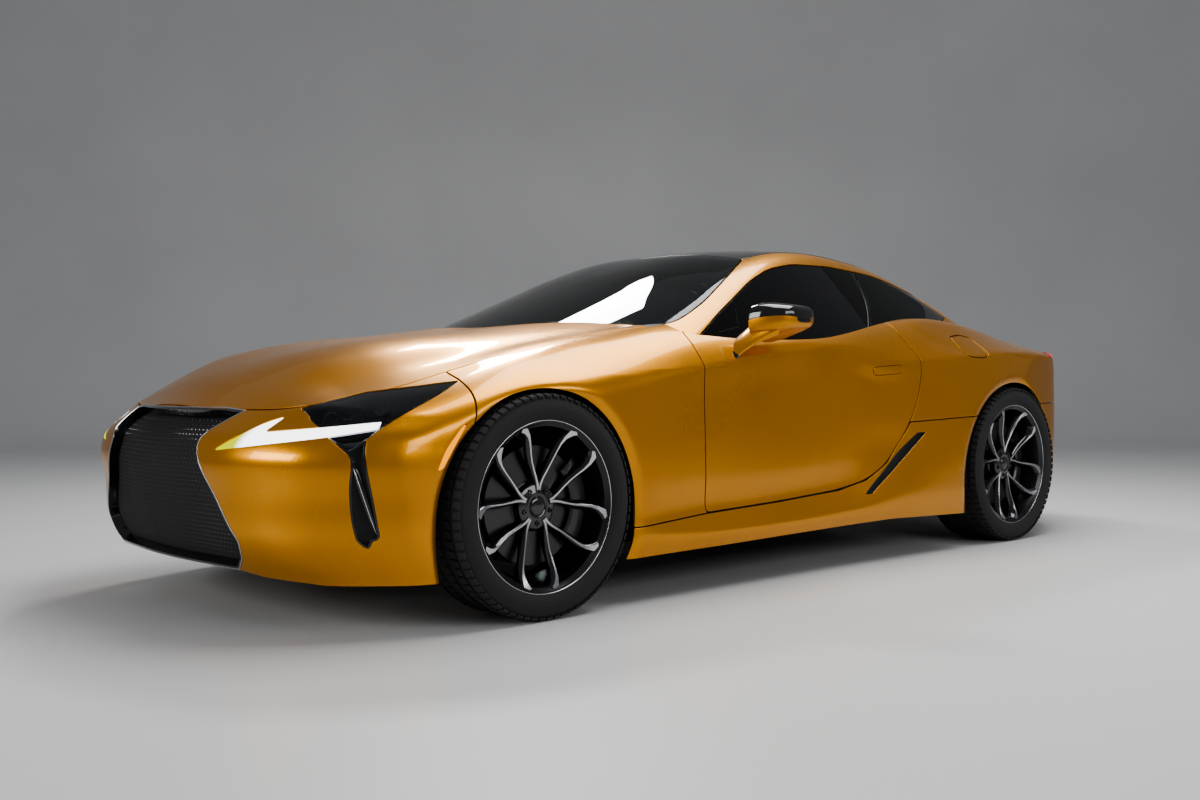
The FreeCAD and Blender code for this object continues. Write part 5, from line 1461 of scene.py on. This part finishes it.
class COUPE_OT_lamps(bpy.types.Operator):
    """Fit the headlamps, the lit strips, the side markers and the tail lamps"""
    bl_idname = "coupe.lamps"
    bl_label = "Lamps"

    def execute(self, context):
        cover = glass("headlamp_cover", (0.34, 0.35, 0.37))
        red = finish_of("red_lens", (0.30, 0.004, 0.006), (0.22, 0.003, 0.004), (0.05, 0.1), 0.004, bump=0.1,
                        Coat_Weight=1.0)
        red_lit = lit("tail_light_strip", (1.0, 0.02, 0.015), 1.6)
        strip = lit("running_light", (0.95, 0.97, 1.0), 2.6, second=(0.30, 0.31, 0.0), place=(0.50, 0.53))
        amber = lit("side_marker", (1.0, 0.36, 0.0), 0.9)
        reflector = finish_of("lamp_reflector", (0.16, 0.165, 0.175), rough=(0.1, 0.2), grain=0.002,
                              bump=0.1, Metallic=1.0)
        lens = glass("projector_lens", (0.85, 0.88, 0.95))
        front = skin("body", NOSE_BOX, within(HEADLAMP, 1.2), beyond(DRL, 1.2), wall=3.0, edge=0.8, rounds=2)
        pair("headlamp_{}_cover", [front], "shell", [cover], ["headlamp_{}"])
        housing = skin("body", NOSE_BOX, within(HEADLAMP, 0.6), beyond(DRL, 0.6), wall=2.0, edge=0.4,
                       lift=bowl(HEADLAMP, 6, 46, 1.9), rounds=2)
        pair("headlamp_{}_housing", [housing], "shell", [satin_black()])
        divider = skin("body", NOSE_BOX, within(HEADLAMP, 3.5), lambda p: np.abs(DRL(p) - 13) - 2.2,
                       wall=2.0, edge=0.5, lift=-7.0, rounds=3)
        pair("headlamp_{}_divider", [divider], "shell", [gloss_black()])
        bezels, domes = zip(*(projector(*row) for row in PROJECTORS))
        pair("headlamp_{}_bezels", bezels, "shell", [reflector])
        pair("headlamp_{}_projectors", domes, "shell", [lens])
        light = skin("body", NOSE_BOX, within(DRL, 1.2), wall=8.0, edge=1.2, lift=-0.6, rounds=2)
        pair("running_light_{}", [light], "shell", [strip])
        marker = skin("body", NOSE_BOX, within(MARKER, 1.2), wall=7.0, edge=1.0, lift=-0.4, rounds=2)
        pair("side_marker_{}", [marker], "shell", [amber])
        tail = skin("body", TAIL_BOX, within(TAIL_LAMP, 1.2), beyond(BOOT, half_gap()), wall=7.0, edge=1.2,
                    rounds=2)
        pair("tail_lamp_{}_lens", [tail], "shell", [red], ["tail_lamp_{}"])
        behind = lambda p: p[:, 0] + 1850
        glow = skin("body", TAIL_BOX, glow_line, beyond(BOOT, half_gap() + 8), behind, wall=1.2, edge=0.4,
                    lift=0.5, rounds=3)
        pair("tail_lamp_{}_strip", [glow], "shell", [red_lit])
        bar = skin("body", TAIL_BOX, within(TAIL_LAMP, 1.2), within(BOOT, half_gap()), centre=True, wall=9.0,
                   edge=1.2, rounds=2)
        piece("boot_lamp_bar", [bar], "boot_lid", [gloss_black()])
        glow = skin("body", TAIL_BOX, glow_line, within(BOOT, half_gap() + 8), lambda p: 150 - p[:, 1],
                    behind, wall=1.2, edge=0.4, lift=0.5, rounds=3)
        piece("boot_lamp_strips", [glow, flipped(glow, -1)], "boot_lid", [red_lit])
        return {"FINISHED"}


def stud_tree():
    """A geometry tree that throws a staggered grid of studs back onto a sheet, smaller toward the bottom."""
    name = "staggered_studs"
    if name in bpy.data.node_groups:
        return bpy.data.node_groups[name]
    tree, given, outside = new_tree(name, "GeometryNodeTree", (
        GEOMETRY_IN, ("Piece", "Object", None), ("Sheet", "Object", None), ("Columns", "Int", None),
        ("Rows", "Int", None), ("Across", "Float", None), ("Up", "Float", None), ("Bottom", "Float", None),
        ("Ahead", "Float", None), ("Material", "Material", None)), GEOMETRY_OUT)

    def math_node(kind, *values):
        return node(tree, "ShaderNodeMath", dict(enumerate(values)), operation=kind).outputs[0]

    count = math_node("MULTIPLY", given["Columns"], given["Rows"])
    index = node(tree, "GeometryNodeInputIndex").outputs[0]
    row = math_node("FLOOR", math_node("DIVIDE", index, given["Columns"]), 0.0)
    column = math_node("SUBTRACT", index, math_node("MULTIPLY", row, given["Columns"]))
    stagger = math_node("MULTIPLY", math_node("MODULO", row, 2.0), 0.5)
    middle = math_node("MULTIPLY", given["Columns"], 0.5)
    place = math_node("ADD", math_node("SUBTRACT", column, middle), stagger)
    y = math_node("MULTIPLY", place, given["Across"])
    z = math_node("MULTIPLY_ADD", row, given["Up"], given["Bottom"])
    start = node(tree, "ShaderNodeCombineXYZ", {0: given["Ahead"], 1: y, 2: z}).outputs[0]
    points = node(tree, "GeometryNodePoints", {"Count": count})
    target = node(tree, "GeometryNodeObjectInfo", {"Object": given["Sheet"]})
    cast = node(tree, "GeometryNodeRaycast", {
        "Target Geometry": target.outputs["Geometry"], "Source Position": start, "Ray Direction": (-1, 0, 0),
        "Ray Length": 3.0})
    share = node(tree, "ShaderNodeMapRange", {0: row, 1: 0.0, 2: given["Rows"], 3: 0.36, 4: 1.0}).outputs[0]
    kept = node(tree, "GeometryNodeStoreNamedAttribute", {
        "Geometry": points.outputs[0], "Name": "share", "Value": share}, data_type="FLOAT")
    moved = node(tree, "GeometryNodeSetPosition", {
        "Geometry": kept.outputs[0], "Position": cast.outputs["Hit Position"],
        "Selection": cast.outputs["Is Hit"]})
    ahead = node(tree, "GeometryNodeInputPosition").outputs[0]
    missed = math_node("LESS_THAN", node(tree, "ShaderNodeSeparateXYZ", {0: ahead}).outputs["X"], 1.0)
    hits = node(tree, "GeometryNodeDeleteGeometry", {"Geometry": moved.outputs[0], "Selection": missed})
    read = node(tree, "GeometryNodeInputNamedAttribute", {"Name": "share"}, data_type="FLOAT").outputs[0]
    scale = node(tree, "ShaderNodeCombineXYZ", {0: read, 1: read, 2: read})
    return ended(tree, given, outside, instances(tree, given, hits, Scale=scale.outputs[0]))


# The studs lie this deep below the skin, in a grid of columns and rows with these steps in metres.
STUD_DEPTH = 34.5
STUD_GRID = {"Columns": 54, "Rows": 36, "Across": 0.0195, "Up": 0.0142, "Bottom": 0.190, "Ahead": 2.6}


class COUPE_OT_grille(bpy.types.Operator):
    """Build the grille: dark sheet, frame, bright thread and studs"""
    bl_idname = "coupe.grille"
    bl_label = "Grille"

    def execute(self, context):
        box = ((2000, 2450), (140, 720))
        back = skin("body", box, within(GRILLE, -5), centre=True, wall=2.0, edge=0.5, lift=-34.0)
        piece("grille_sheet", [back], "shell", [dark_lining()], ["grille"])
        surround = skin("body", box, within(GRILLE, 2.8), beyond(GRILLE, -8.0), centre=True, wall=40.0,
                        edge=1.0, lift=-1.0)
        piece("grille_frame", [surround], "shell", [gloss_black()])
        thread = skin("body", box, within(GRILLE, 0.6), beyond(GRILLE, -2.8), centre=True, wall=9.0,
                      edge=0.5, lift=0.3, rounds=2)
        piece("grille_thread", [thread], "shell", [chrome()])
        v, t = both_sides(*region("body", box, within(GRILLE, 17)))
        target = pattern_piece((v - unit(slopes(body_form, v)) * STUD_DEPTH, t), "grille_target")
        rings = [[(h, r * math.cos(a) * 1.25, r * math.sin(a)) for a in np.radians(np.arange(0, 360, 60))]
                 for r, h in ((4.0, -1), (4.0, 2), (2.8, 4.5), (0.5, 6))]
        seed = pattern_piece(outward(loft(rings)), "stud_seed")
        stud = finish_of("grille_stud", (0.10, 0.10, 0.105), (0.13, 0.13, 0.135), (0.12, 0.2), 0.002,
                         bump=0.05, Metallic=1.0)
        mesh = grown(stud_tree(), {"Piece": seed, "Sheet": target, "Material": stud, **STUD_GRID},
                     "grille_studs")
        placed(mesh, "shell", sharp=25)
        for made in (seed, target):
            bpy.data.objects.remove(made)
        return {"FINISHED"}


# The duct's fin passes these places, each moved back from the skin.
FIN = ((2118, 803, 560), (2100, 818, 500), (2078, 826, 430), (2058, 834, 366), (2038, 842, 306))
FIN_BACK = 9


class COUPE_OT_vents(bpy.types.Operator):
    """Recess the front ducts with their fins, the side vents and the handle pockets"""
    bl_idname = "coupe.vents"
    bl_label = "Ducts and vents"

    def execute(self, context):
        for name, box, line, gaps, sink, body in (
                ("duct", NOSE_BOX, DUCT, (within(DUCT, 0.6), beyond(DRL, 1.0)), (5, 40, 1.5), "shell"),
                ("side_vent", SLOT_BOX, SLOT, (within(SLOT, 0.6),), (4, 24, 1.8), "shell"),
                ("handle_pocket", HANDLE_BOX, HANDLE, (within(HANDLE, 0.4),), (6, 15, 1.5), "door_{}")):
            hollow = skin("body", box, *gaps, wall=2.0, edge=0.4, lift=bowl(line, *sink), rounds=2)
            pair(name + "_{}", [hollow], body, [satin_black()])
        duct_lip = skin("body", NOSE_BOX, within(DUCT, 0.8), beyond(DRL, 1.2), beyond(DUCT, -5.0), wall=8.0,
                        edge=0.8, lift=-1.2, rounds=2)
        pair("duct_lip_{}", [duct_lip], "shell", [gloss_black()])
        vent_lip = skin("body", SLOT_BOX, within(SLOT, 0.8), beyond(SLOT, -3.6), wall=6.0, edge=0.7,
                        lift=-1.0, rounds=2)
        pair("side_vent_lip_{}", [vent_lip], "shell", [gloss_black()])
        line = []
        for place in FIN:
            p, n = settled(*place)
            line.append(p - n * FIN_BACK)
        fin = swept(line, (5, 9, 10, 9, 4), 16, 0.35, up=(0.45, 0.9, 0))
        bright = swept(np.array(line) + np.array((4.5, 3.0, 0)), (1.2, 1.6, 1.6, 1.4, 1.0), 8)
        pair("duct_fin_{}", [solid(fin), solid(bright, 1)], "shell", [gloss_black(), chrome()])
        return {"FINISHED"}


# The mirror's head, section by section outwards: distance out, place along, height of the middle,
# and how far it reaches along, up and down.
MIRROR = table("""
 898 378 988 62 48 68
 903 373 991 88 62 82
 928 357 997 98 62 80
 965 340 1003 98 55 70
1000 324 1006 92 45 58
1022 312 1006 84 38 46
1033 305 1004 68 32 36
1038 301 1002 40 20 20
""")


class COUPE_OT_mirrors(bpy.types.Operator):
    """Shape the door mirrors: arm, two-tone head and glass"""
    bl_idname = "coupe.mirrors"
    bl_label = "Door mirrors"

    def execute(self, context):
        rings = []
        for y, x, z, wide, high, low in MIRROR:
            ring = []
            for a in np.radians(np.arange(0, 360, 9)):
                c, s = math.cos(a), math.sin(a)
                along = wide * math.copysign(abs(c) ** (0.5 if c < 0 else 0.7), c)
                tall = high if s > 0 else low
                ring.append((x + along, y, z + tall * math.copysign(abs(s) ** 0.56, s)))
            rings.append(ring)
        v, faces = outward(loft(rings))
        levels = bend(MIRROR[:, 0], MIRROR[:, 2], v[:, 1])
        cap = np.array([(v[list(f), 2] > levels[list(f)] + 3).any() for f in faces])
        head = (v, faces, None, np.where(cap, 0, 1))
        arm = swept([(520, 872, 866), (500, 884, 888), (472, 898, 912), (432, 914, 938), (384, 930, 962)],
                    (40, 42, 48, 58, 70), 24, 0.40, up=(0.5, 0.2, 1))
        foot = swept([(524, 868, 860), (517, 874, 872)], (45, 43), 24, 0.46, up=(0.5, 0.2, 1))
        pair("mirror_{}_head", [head, solid(arm, 1), solid(foot)], "door_{}", [gloss_black(), paint()],
             ["mirror_{}"], 50)
        rings = []
        for wide, tall, back in ((0.97, 0.95, 0), (1, 1, 0.5), (1, 1, 2.5), (0.97, 0.95, 3.0)):
            ring = []
            for a in np.radians(np.arange(0, 360, 12)):
                c, s = math.cos(a), math.sin(a)
                y = 968 + 54 * math.copysign(abs(c) ** 0.7, c) * wide
                z = 1002 + 40 * math.copysign(abs(s) ** 0.7, s) * tall
                ring.append((246.0 - 0.30 * (y - 968) - back, y, z))
            rings.append(ring)
        mirror_face = finish_of("mirror_glass", (0.86, 0.88, 0.9), rough=(0.01, 0.03), Metallic=1.0)
        pair("mirror_{}_glass", [solid(loft(rings))], "door_{}", [mirror_face], sharp=30)
        return {"FINISHED"}


# Cabin

# How deep the seats' channels are, how full their padding is, and how far out the two rows sit.
CHANNEL_DEPTH, SEAT_FILL = 5.0, 0.85
FRONT_Y, REAR_Y = 370, 300


def cushion(centre, half, power, tilt=0.0, channels=0, axis=2):
    """A crowned, stuffed form with channels pressed into its face, tipped back by an angle."""
    v, faces = ball((0, 0, 0), half, power, 26, 44)
    if channels:
        along = v[:, 1] / half[1]
        wave = np.clip(np.abs(((along * 0.5 + 0.5) * channels) % 1 - 0.5) * 2, 0, 1) ** 6
        face = (np.abs(along) < 0.80) & (v[:, axis] > half[axis] * 0.5)
        v[:, axis] -= np.where(face, CHANNEL_DEPTH * wave, 0)
    a = math.radians(tilt)
    turn = np.array(((math.cos(a), 0, math.sin(a)), (0, 1, 0), (-math.sin(a), 0, math.cos(a))))
    return v @ turn.T + centre, faces


def seats():
    """The left seats: name, cushions, the blocks of the base, and the node on each side."""
    front = [cushion((-70, FRONT_Y, 372), (250, 175, 72), 3.4, 6, 5),
             cushion((-330, FRONT_Y, 610), (62, 165, 250), 3.2, 20, 5, axis=0),
             cushion((-428, FRONT_Y, 850), (40, 118, 62), 2.8, 16)]
    base = [slab((-60, FRONT_Y, 262), (215, 200, 60), 20)]
    for s in (1, -1):
        front += [cushion((-70, FRONT_Y + s * 195, 392), (245, 46, 74), 2.8, 6),
                  cushion((-315, FRONT_Y + s * 188, 590), (76, 46, 215), 2.8, 20)]
        base.append(slab((-60, FRONT_Y + s * 150, 212), (240, 16, 14), 5))
    rear = [cushion((-720, REAR_Y, 430), (230, 225, 70), 3.2, 6, 4),
            cushion((-915, REAR_Y, 640), (62, 220, 190), 3.2, 22, 4, axis=0),
            cushion((-962, REAR_Y, 815), (38, 110, 34), 2.8, 20)]
    return (("front_seat", front, base, {"left": ["front_seat_left"], "right": ["front_seat_right"]}),
            ("rear_seat", rear, [slab((-720, REAR_Y, 300), (215, 225, 90), 20)], {"left": ["rear_seats"]}))


# The dashboard's section in side view, the steering wheel's place and slope in degrees, and how far
# out the door cards' face lies.
DASH = ((700, 885), (640, 893), (560, 884), (480, 868), (430, 848), (404, 820), (396, 780), (410, 740),
        (452, 700), (470, 640), (480, 560), (520, 520), (600, 505), (700, 500))
WHEEL_AT, WHEEL_SLOPE = (250, 370, 800), 24
CARD_DEPTH = 788


def on_wheel(part, kind=0):
    """A part drawn about the Y axis, set on the steering wheel's sloping axis."""
    a = math.radians(WHEEL_SLOPE)
    return solid(aimed(part, WHEEL_AT, (-math.cos(a), 0, math.sin(a))), kind)


def dash_rings():
    """The dashboard's section across the car, with a hump before the driver and a middle that stands out."""
    rings = []
    for y in np.linspace(-720, 720, 33):
        hump = 26 * math.exp(-((y - FRONT_Y) / 190) ** 2)
        pull = 30 * (abs(y) / 720) ** 3 - 26 * math.exp(-(y / 150) ** 2)
        rings.append([(x + (pull if x < 690 else 0), y,
                       z + (hump * max(0, 1 - abs(x - 480) / 120) if z > 800 else 0)) for x, z in DASH])
    return rings


class COUPE_OT_cabin(bpy.types.Operator):
    """Fit the seats, dashboard, console, steering wheel, door cards and headliner"""
    bl_idname = "coupe.cabin"
    bl_label = "Cabin"

    def execute(self, context):
        hide = tuple(context.scene.coupe_finish.leather)
        leather = finish_of("dark_leather", hide, tuple(c * 0.7 for c in hide), (0.36, 0.5), 0.0016,
                            bump=0.5, Coat_Weight=0.1)
        soft = finish_of("soft_dash", (0.016, 0.016, 0.017), (0.022, 0.021, 0.02), (0.5, 0.65), 0.0012,
                         bump=0.5)
        screen = finish_of("dark_display", (0.004, 0.005, 0.007), rough=(0.04, 0.08), Coat_Weight=1.0)
        for side, sign in SIDES:
            for label, cushions, base, node_names in seats():
                for k, part in enumerate(cushions):
                    made = piece(f"{label}_{side}_cushion_{k}", [flipped((*part, None, 0), sign)], "shell",
                                 [leather], node_names.get(side, ()) if k == 0 else ())
                piece(f"{label}_{side}_base", [flipped(solid(joined(*base)), sign)], "shell",
                      [satin_black()])
        vents = [solid(slab((398, y, 792), (10, 60, 18), 5), 1) for y in (-560, -170, 190, 600)]
        binnacle = solid(ball((455, FRONT_Y, 880), (82, 150, 34), 3.0))
        piece("dashboard_form", [solid(loft(dash_rings())), binnacle] + vents, "shell",
              [soft, gloss_black()], ["dashboard"], 40)
        display = solid(slab((404, 20, 866), (8, 140, 44), 6))
        piece("dashboard_display", [display], "shell", [screen], sharp=40)
        console = joined(slab((50, 0, 400), (400, 96, 92), 26), slab((-150, 0, 500), (180, 84, 22), 16))
        lever = joined(swept([(190, 0, 480), (178, 0, 530), (172, 0, 560)], (12, 9, 16), 16),
                       ball((170, 0, 566), (24, 20, 18), 2.4))
        piece("console_form", [solid(console), solid(lever, 1)], "shell", [soft, gloss_black()],
              ["centre_console"], 40)
        grip = [(174 + 13 * math.cos(b), 15 * math.sin(b)) for b in np.radians(np.arange(0, 360, 24))]
        spokes = []
        for a in np.radians((3, 177, 270)):
            path = [(r * math.cos(a), along, r * math.sin(a))
                    for r, along in ((30, -14), (90, -8), (140, -3), (170, 0))]
            spokes.append(swept(path, (24, 17, 13, 15), 16, 0.35, up=(0, 1, 0)))
        boss = ball((0, -8, 0), (62, 24, 54), 2.8)
        column = revolve([(28, -20), (30, -60), (30, -60), (24, -62), (0.01, -62), (0.01, -20)], 32,
                         closed=False)
        parts = [on_wheel(revolve(grip, 90)), on_wheel(joined(*spokes), 1), on_wheel(boss),
                 on_wheel(column, 1)]
        piece("steering_wheel_rim", parts, "steering_wheel", [leather, satin_black()],
              ["steering_wheel"])
        lining = skin("house", HOUSE_BOX, within(ROOF, 14), lambda p: -40.0 - body_form(p), centre=True,
                      wall=4.0, lift=-16.0)
        piece("headliner", [lining], "shell", [dark_lining()])
        v, t = region("body", ((-620, 710), (330, 860)), within(DOOR, 34))
        v = np.stack([v[:, 0], 0 * v[:, 1] + CARD_DEPTH, v[:, 2]], 1)
        card = (*walled(v, t[:, ::-1], np.broadcast_to((0.0, -1.0, 0.0), v.shape), 14.0, 2.5), 0)
        rest = joined(slab((60, 772, 640), (250, 26, 26), 14), slab((-60, 776, 470), (300, 18, 60), 12))
        pull = swept([(260, 776, 742), (235, 760, 752), (150, 756, 756), (65, 760, 752), (40, 776, 742)],
                     (8, 9, 9, 9, 8), 14)
        pair("door_card_{}", [card, solid(rest, 1), solid(pull, 2)], "door_{}",
             [soft, leather, satin_bright()], sharp=50)
        return {"FINISHED"}


class COUPE_OT_engine(bpy.types.Operator):
    """Build the engine with its cover, intake pipes and pulleys, and the radiator ahead of it"""
    bl_idname = "coupe.engine"
    bl_label = "Engine"

    def execute(self, context):
        cast = finish_of("engine_block", (0.16, 0.16, 0.165), (0.11, 0.11, 0.11), (0.4, 0.6), 0.002,
                         bump=0.5, Metallic=0.8)
        block = [slab((1270, 0, 450), (290, 165, 140), 26), slab((1270, 0, 330), (240, 130, 30), 16),
                 slab((985, 0, 470), (24, 120, 120), 16)]
        block += [slab((1270, s * 175, 625), (285, 90, 52), 20) for s in (1, -1)]
        cover = [slab((1270, 0, 738), (255, 150, 32), 24)]
        cover += [slab((1090 + 90 * k, 0, 769), (14, 120 - 6 * k, 5), 4) for k in range(5)]
        line = ((120, 722), (178, 734), (222, 714), (238, 668))
        pipes = [swept([(1075 + 130 * k, s * y, z) for y, z in line], 24, 16)
                 for k in range(4) for s in (1, -1)]
        v, faces = revolve([(0.01, -12), (14, -12), (16, 0), (44, 0), (48, 8), (48, -24), (0.01, -24)], 40,
                           closed=False)
        pulleys = [aimed(outward((v * (k, 1, k), faces)), (1572, y, z), (1, 0, 0))
                   for y, z, k in ((0, 430, 1.5), (-120, 560, 1.0), (120, 560, 1.0))]
        piece("engine_assembly", [solid(joined(*block)), solid(joined(*cover), 1), solid(joined(*pipes), 2),
                                  solid(joined(*pulleys))],
              "shell", [cast, gloss_black(), satin_black()], ["engine"], 40)
        core = [slab((1865, 0, 430), (18, 400, 150), 6)]
        core += [slab((1866, 0, 300 + 26 * k), (24, 392, 3), 2) for k in range(11)]
        core += [slab((1865, s * 410, 430), (26, 18, 160), 8) for s in (1, -1)]
        piece("radiator_core", [solid(joined(*core))], "shell", [satin_black()], sharp=40)
        return {"FINISHED"}


# Dark strips of painted shade behind the seams and openings, and what the frame keeps

# How wide the dark strips of painted shade are to each side of a line, and how deep below the skin.
BAND_HALF, BAND_DEPTH = 14.0, 16.5


def seam_bands():
    """Dark strips of painted shade behind the gaps: name, box, outline, what else each keeps, whether it
    spans the middle.
    """
    arches = (lambda p: 6.0 - arch_gap(p, "front"), lambda p: 6.0 - arch_gap(p, "rear"))
    low = lambda p: 12.0 - house_gap(p)
    return (
        ("front_split", ((1600, 1800), (150, 800)), FRONT_SPLIT, (*arches, lambda p: 740 - p[:, 1]), False),
        ("bonnet_seam", BONNET_BOX, BONNET,
         (beyond(BONNET, -5), beyond(GRILLE, 0), beyond(HEADLAMP, -4), low), True),
        ("sill_seam", ((-1200, 1150), (230, 640)), SILL, (*arches, beyond(SLOT, 2), beyond(DOOR, 0)), False),
        ("rear_split", ((-2450, -1500), (600, 690)), REAR_SPLIT, arches, False),
        ("boot_seam", ((-2450, -1550), (650, 1060)), BOOT,
         (beyond(BOOT, -5), beyond(TAIL_LAMP, 0), low), True),
    )


# Materials of the parts that the frame keeps, by the start of a node's name; the last fits any:
# material, two colours, roughness range, metallic and bump.
KEPT = (("exhaust", "exhaust_steel", (0.45, 0.44, 0.42), (0.32, 0.29, 0.26), (0.22, 0.4), 1.0, 0.2),
        ("front_subframe", "subframe_steel", (0.03, 0.03, 0.03), (0.05, 0.048, 0.045), (0.5, 0.7), 0.4, 0.5),
        ("rear_subframe", "subframe_steel", (0.03, 0.03, 0.03), (0.05, 0.048, 0.045), (0.5, 0.7), 0.4, 0.5),
        ("", "undertray", (0.016, 0.016, 0.017), (0.026, 0.026, 0.025), (0.7, 0.85), 0.0, 0.6))


class COUPE_OT_structure(bpy.types.Operator):
    """Put painted shade behind the seams and openings as dark strips, and give every part that the frame
    keeps its material
    """
    bl_idname = "coupe.structure"
    bl_label = "Seams and structure"

    def execute(self, context):
        # Each band is painted shade: a near-black strip below the skin, behind a gap.
        for name, box, line, keeps, centre in seam_bands():
            part = skin("body", box, lambda p, o=line: np.abs(o(p)) - BAND_HALF, *keeps, centre=centre,
                        wall=2.0, edge=0.4, lift=-BAND_DEPTH)
            if centre:
                piece(name, [part], "shell", [dark_lining()])
            else:
                pair(name + "_{}", [part], "shell", [dark_lining()])
        # Painted shade round the door opening: a near-black band where the jamb lies in shade behind the
        # door's gap.
        jamb = skin("body", ((-720, 640), (270, 1000)), beyond(DOOR, 0.6), within(DOOR, -24),
                    lambda p: p[:, 0] - 630, lambda p: 22.0 - house_gap(p), beyond(SLOT, 2), wall=70.0,
                    edge=0.4, lift=-BAND_DEPTH)
        pair("door_jamb_{}", [jamb], "shell", [dark_lining()])
        cup = skin("body", FUEL_BOX, within(FUEL, -6), wall=2.0, edge=0.4, lift=bowl(FUEL, 9, 26, 1.2),
                   rounds=2)
        piece("fuel_lid_pocket", [cup], "shell", [satin_black()])
        for name, node_object in sorted(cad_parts.items()):
            if node_object.hide_render:
                continue
            _, look, first, second, rough, metallic, bump = next(k for k in KEPT if name.startswith(k[0]))
            node_object.data.materials.clear()
            node_object.data.materials.append(finish_of(look, first, second, rough, 0.0015, bump=bump,
                                                        Metallic=metallic))
        return {"FINISHED"}


# The soft lights: name, place, what it aims at, size in metres and share of the set strength.
LIGHTS = (("light_overhead", (-0.9, 0.8, 4.9), (0.0, 0.2, 0), (4.2, 3.2), 0.85),
          ("light_back", (-1.5, -3.0, 4.8), (1.2, 0.5, 0.9), (1.2, 0.8), 0.45),
          ("light_front", (7.2, 0.4, 2.4), (1.8, 0, 0.5), (2.4, 1.6), 0.35),
          ("light_side", (-0.5, 7.6, 3.0), (-0.2, 0, 0.6), (6.0, 2.0), 0.5))
# The camera as matched to the photograph: place, then yaw, pitch and roll in degrees, and the focal
# length as a share of the picture's width. The floor turns with the yaw.
CAMERA_AT, CAMERA_TURNS = (4.02814, 3.97705, 0.78689), (-132.468, -1.148, -0.105)
FOCAL_SHARE = 1249.70 / 1200
FLOOR_TURN, FLOOR_HALF, SENSOR = -132.5, 30, 36.0


class COUPE_OT_stage(bpy.types.Operator):
    """Lay the pale floor, place the soft lights and set the camera where the photograph was taken"""
    bl_idname = "coupe.stage"
    bl_label = "Stage and camera"

    def execute(self, context):
        look = context.scene.coupe_stage
        profile = [(-FLOOR_HALF, 0.0), (8.0, 0.0)]
        profile += [(8 + 3 * math.sin(a), 3 - 3 * math.cos(a)) for a in np.radians(np.arange(9, 91, 9))]
        profile.append((11, 12))
        turn = Matrix.Rotation(math.radians(FLOOR_TURN), 4, "Z")
        points = [turn @ Vector((along, wide, up)) for along, up in profile
                  for wide in (-FLOOR_HALF, FLOOR_HALF)]
        faces = [(2 * k, 2 * k + 1, 2 * k + 3, 2 * k + 2) for k in range(len(profile) - 1)]
        mesh = bpy.data.meshes.new("studio_floor")
        mesh.from_pydata(points, [], faces)
        mesh.polygons.foreach_set("use_smooth", [True] * len(faces))
        mesh.materials.append(finish_of("pale_floor", tuple(look.floor), rough=(0.4, 0.5), cloud=1.5,
                                        grain=0.01, bump=0.03))
        floor = bpy.data.objects.new("studio_floor", mesh)
        context.scene.collection.objects.link(floor)
        world = bpy.data.worlds.new("soft_room")
        world.use_nodes = True
        world.node_tree.nodes["Background"].inputs[0].default_value = (0.93, 0.95, 1.0, 1)
        world.node_tree.nodes["Background"].inputs[1].default_value = look.surround
        context.scene.world = world
        for name, place, target, size, share in LIGHTS:
            light = bpy.data.lights.new(name, "AREA")
            light.shape = "RECTANGLE"
            light.size, light.size_y = size
            light.energy = look.power * share
            lamp = bpy.data.objects.new(name, light)
            lamp.location = place
            lamp.rotation_euler = (Vector(target) - Vector(place)).to_track_quat("-Z", "Y").to_euler()
            context.scene.collection.objects.link(lamp)
        context.scene.view_settings.look = "AgX - Medium High Contrast"
        yaw, pitch, roll = (math.radians(a) for a in CAMERA_TURNS)
        ahead = Vector((math.cos(pitch) * math.cos(yaw), math.cos(pitch) * math.sin(yaw), math.sin(pitch)))
        right = ahead.cross(Vector((0, 0, 1))).normalized()
        up = right.cross(ahead)
        across = right * math.cos(roll) + up * math.sin(roll)
        above = up * math.cos(roll) - right * math.sin(roll)
        camera = bpy.data.cameras.new("camera")
        camera.sensor_width, camera.lens = SENSOR, SENSOR * FOCAL_SHARE
        holder = bpy.data.objects.new("camera", camera)
        holder.matrix_world = Matrix((across, above, -ahead)).transposed().to_4x4()
        holder.location = CAMERA_AT
        context.scene.collection.objects.link(holder)
        context.scene.camera = holder
        return {"FINISHED"}


class COUPE_PT_parts(bpy.types.Panel):
    """Sizes, colours and build steps of the coupe"""
    bl_label = "Coupe"
    bl_idname = "COUPE_PT_parts"
    bl_space_type = "VIEW_3D"
    bl_region_type = "UI"
    bl_category = "Coupe"

    def draw(self, context):
        for group in SETTINGS:
            box = self.layout.box()
            settings = getattr(context.scene, group)
            for field in settings.__annotations__:
                box.prop(settings, field)
        for step in STEPS:
            self.layout.operator(step.bl_idname)


SETTINGS = {"coupe_body": CoupeBody, "coupe_finish": CoupeFinish, "coupe_stage": CoupeStage}
STEPS = (COUPE_OT_stage, COUPE_OT_panels, COUPE_OT_greenhouse, COUPE_OT_wheels, COUPE_OT_lamps,
         COUPE_OT_grille, COUPE_OT_vents, COUPE_OT_mirrors, COUPE_OT_cabin, COUPE_OT_engine,
         COUPE_OT_structure)


def register():
    for made in (*SETTINGS.values(), *STEPS, COUPE_PT_parts):
        bpy.utils.register_class(made)
    for name, kind in SETTINGS.items():
        setattr(bpy.types.Scene, name, bpy.props.PointerProperty(type=kind))


def unregister():
    for name in SETTINGS:
        delattr(bpy.types.Scene, name)
    for made in (COUPE_PT_parts, *STEPS[::-1], *list(SETTINGS.values())[::-1]):
        bpy.utils.unregister_class(made)


def main():
    """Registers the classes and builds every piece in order."""
    register()
    for step in STEPS:
        area, action = step.bl_idname.split(".")
        getattr(getattr(bpy.ops, area), action)()
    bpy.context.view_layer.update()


if __name__ == "__main__":
    main()
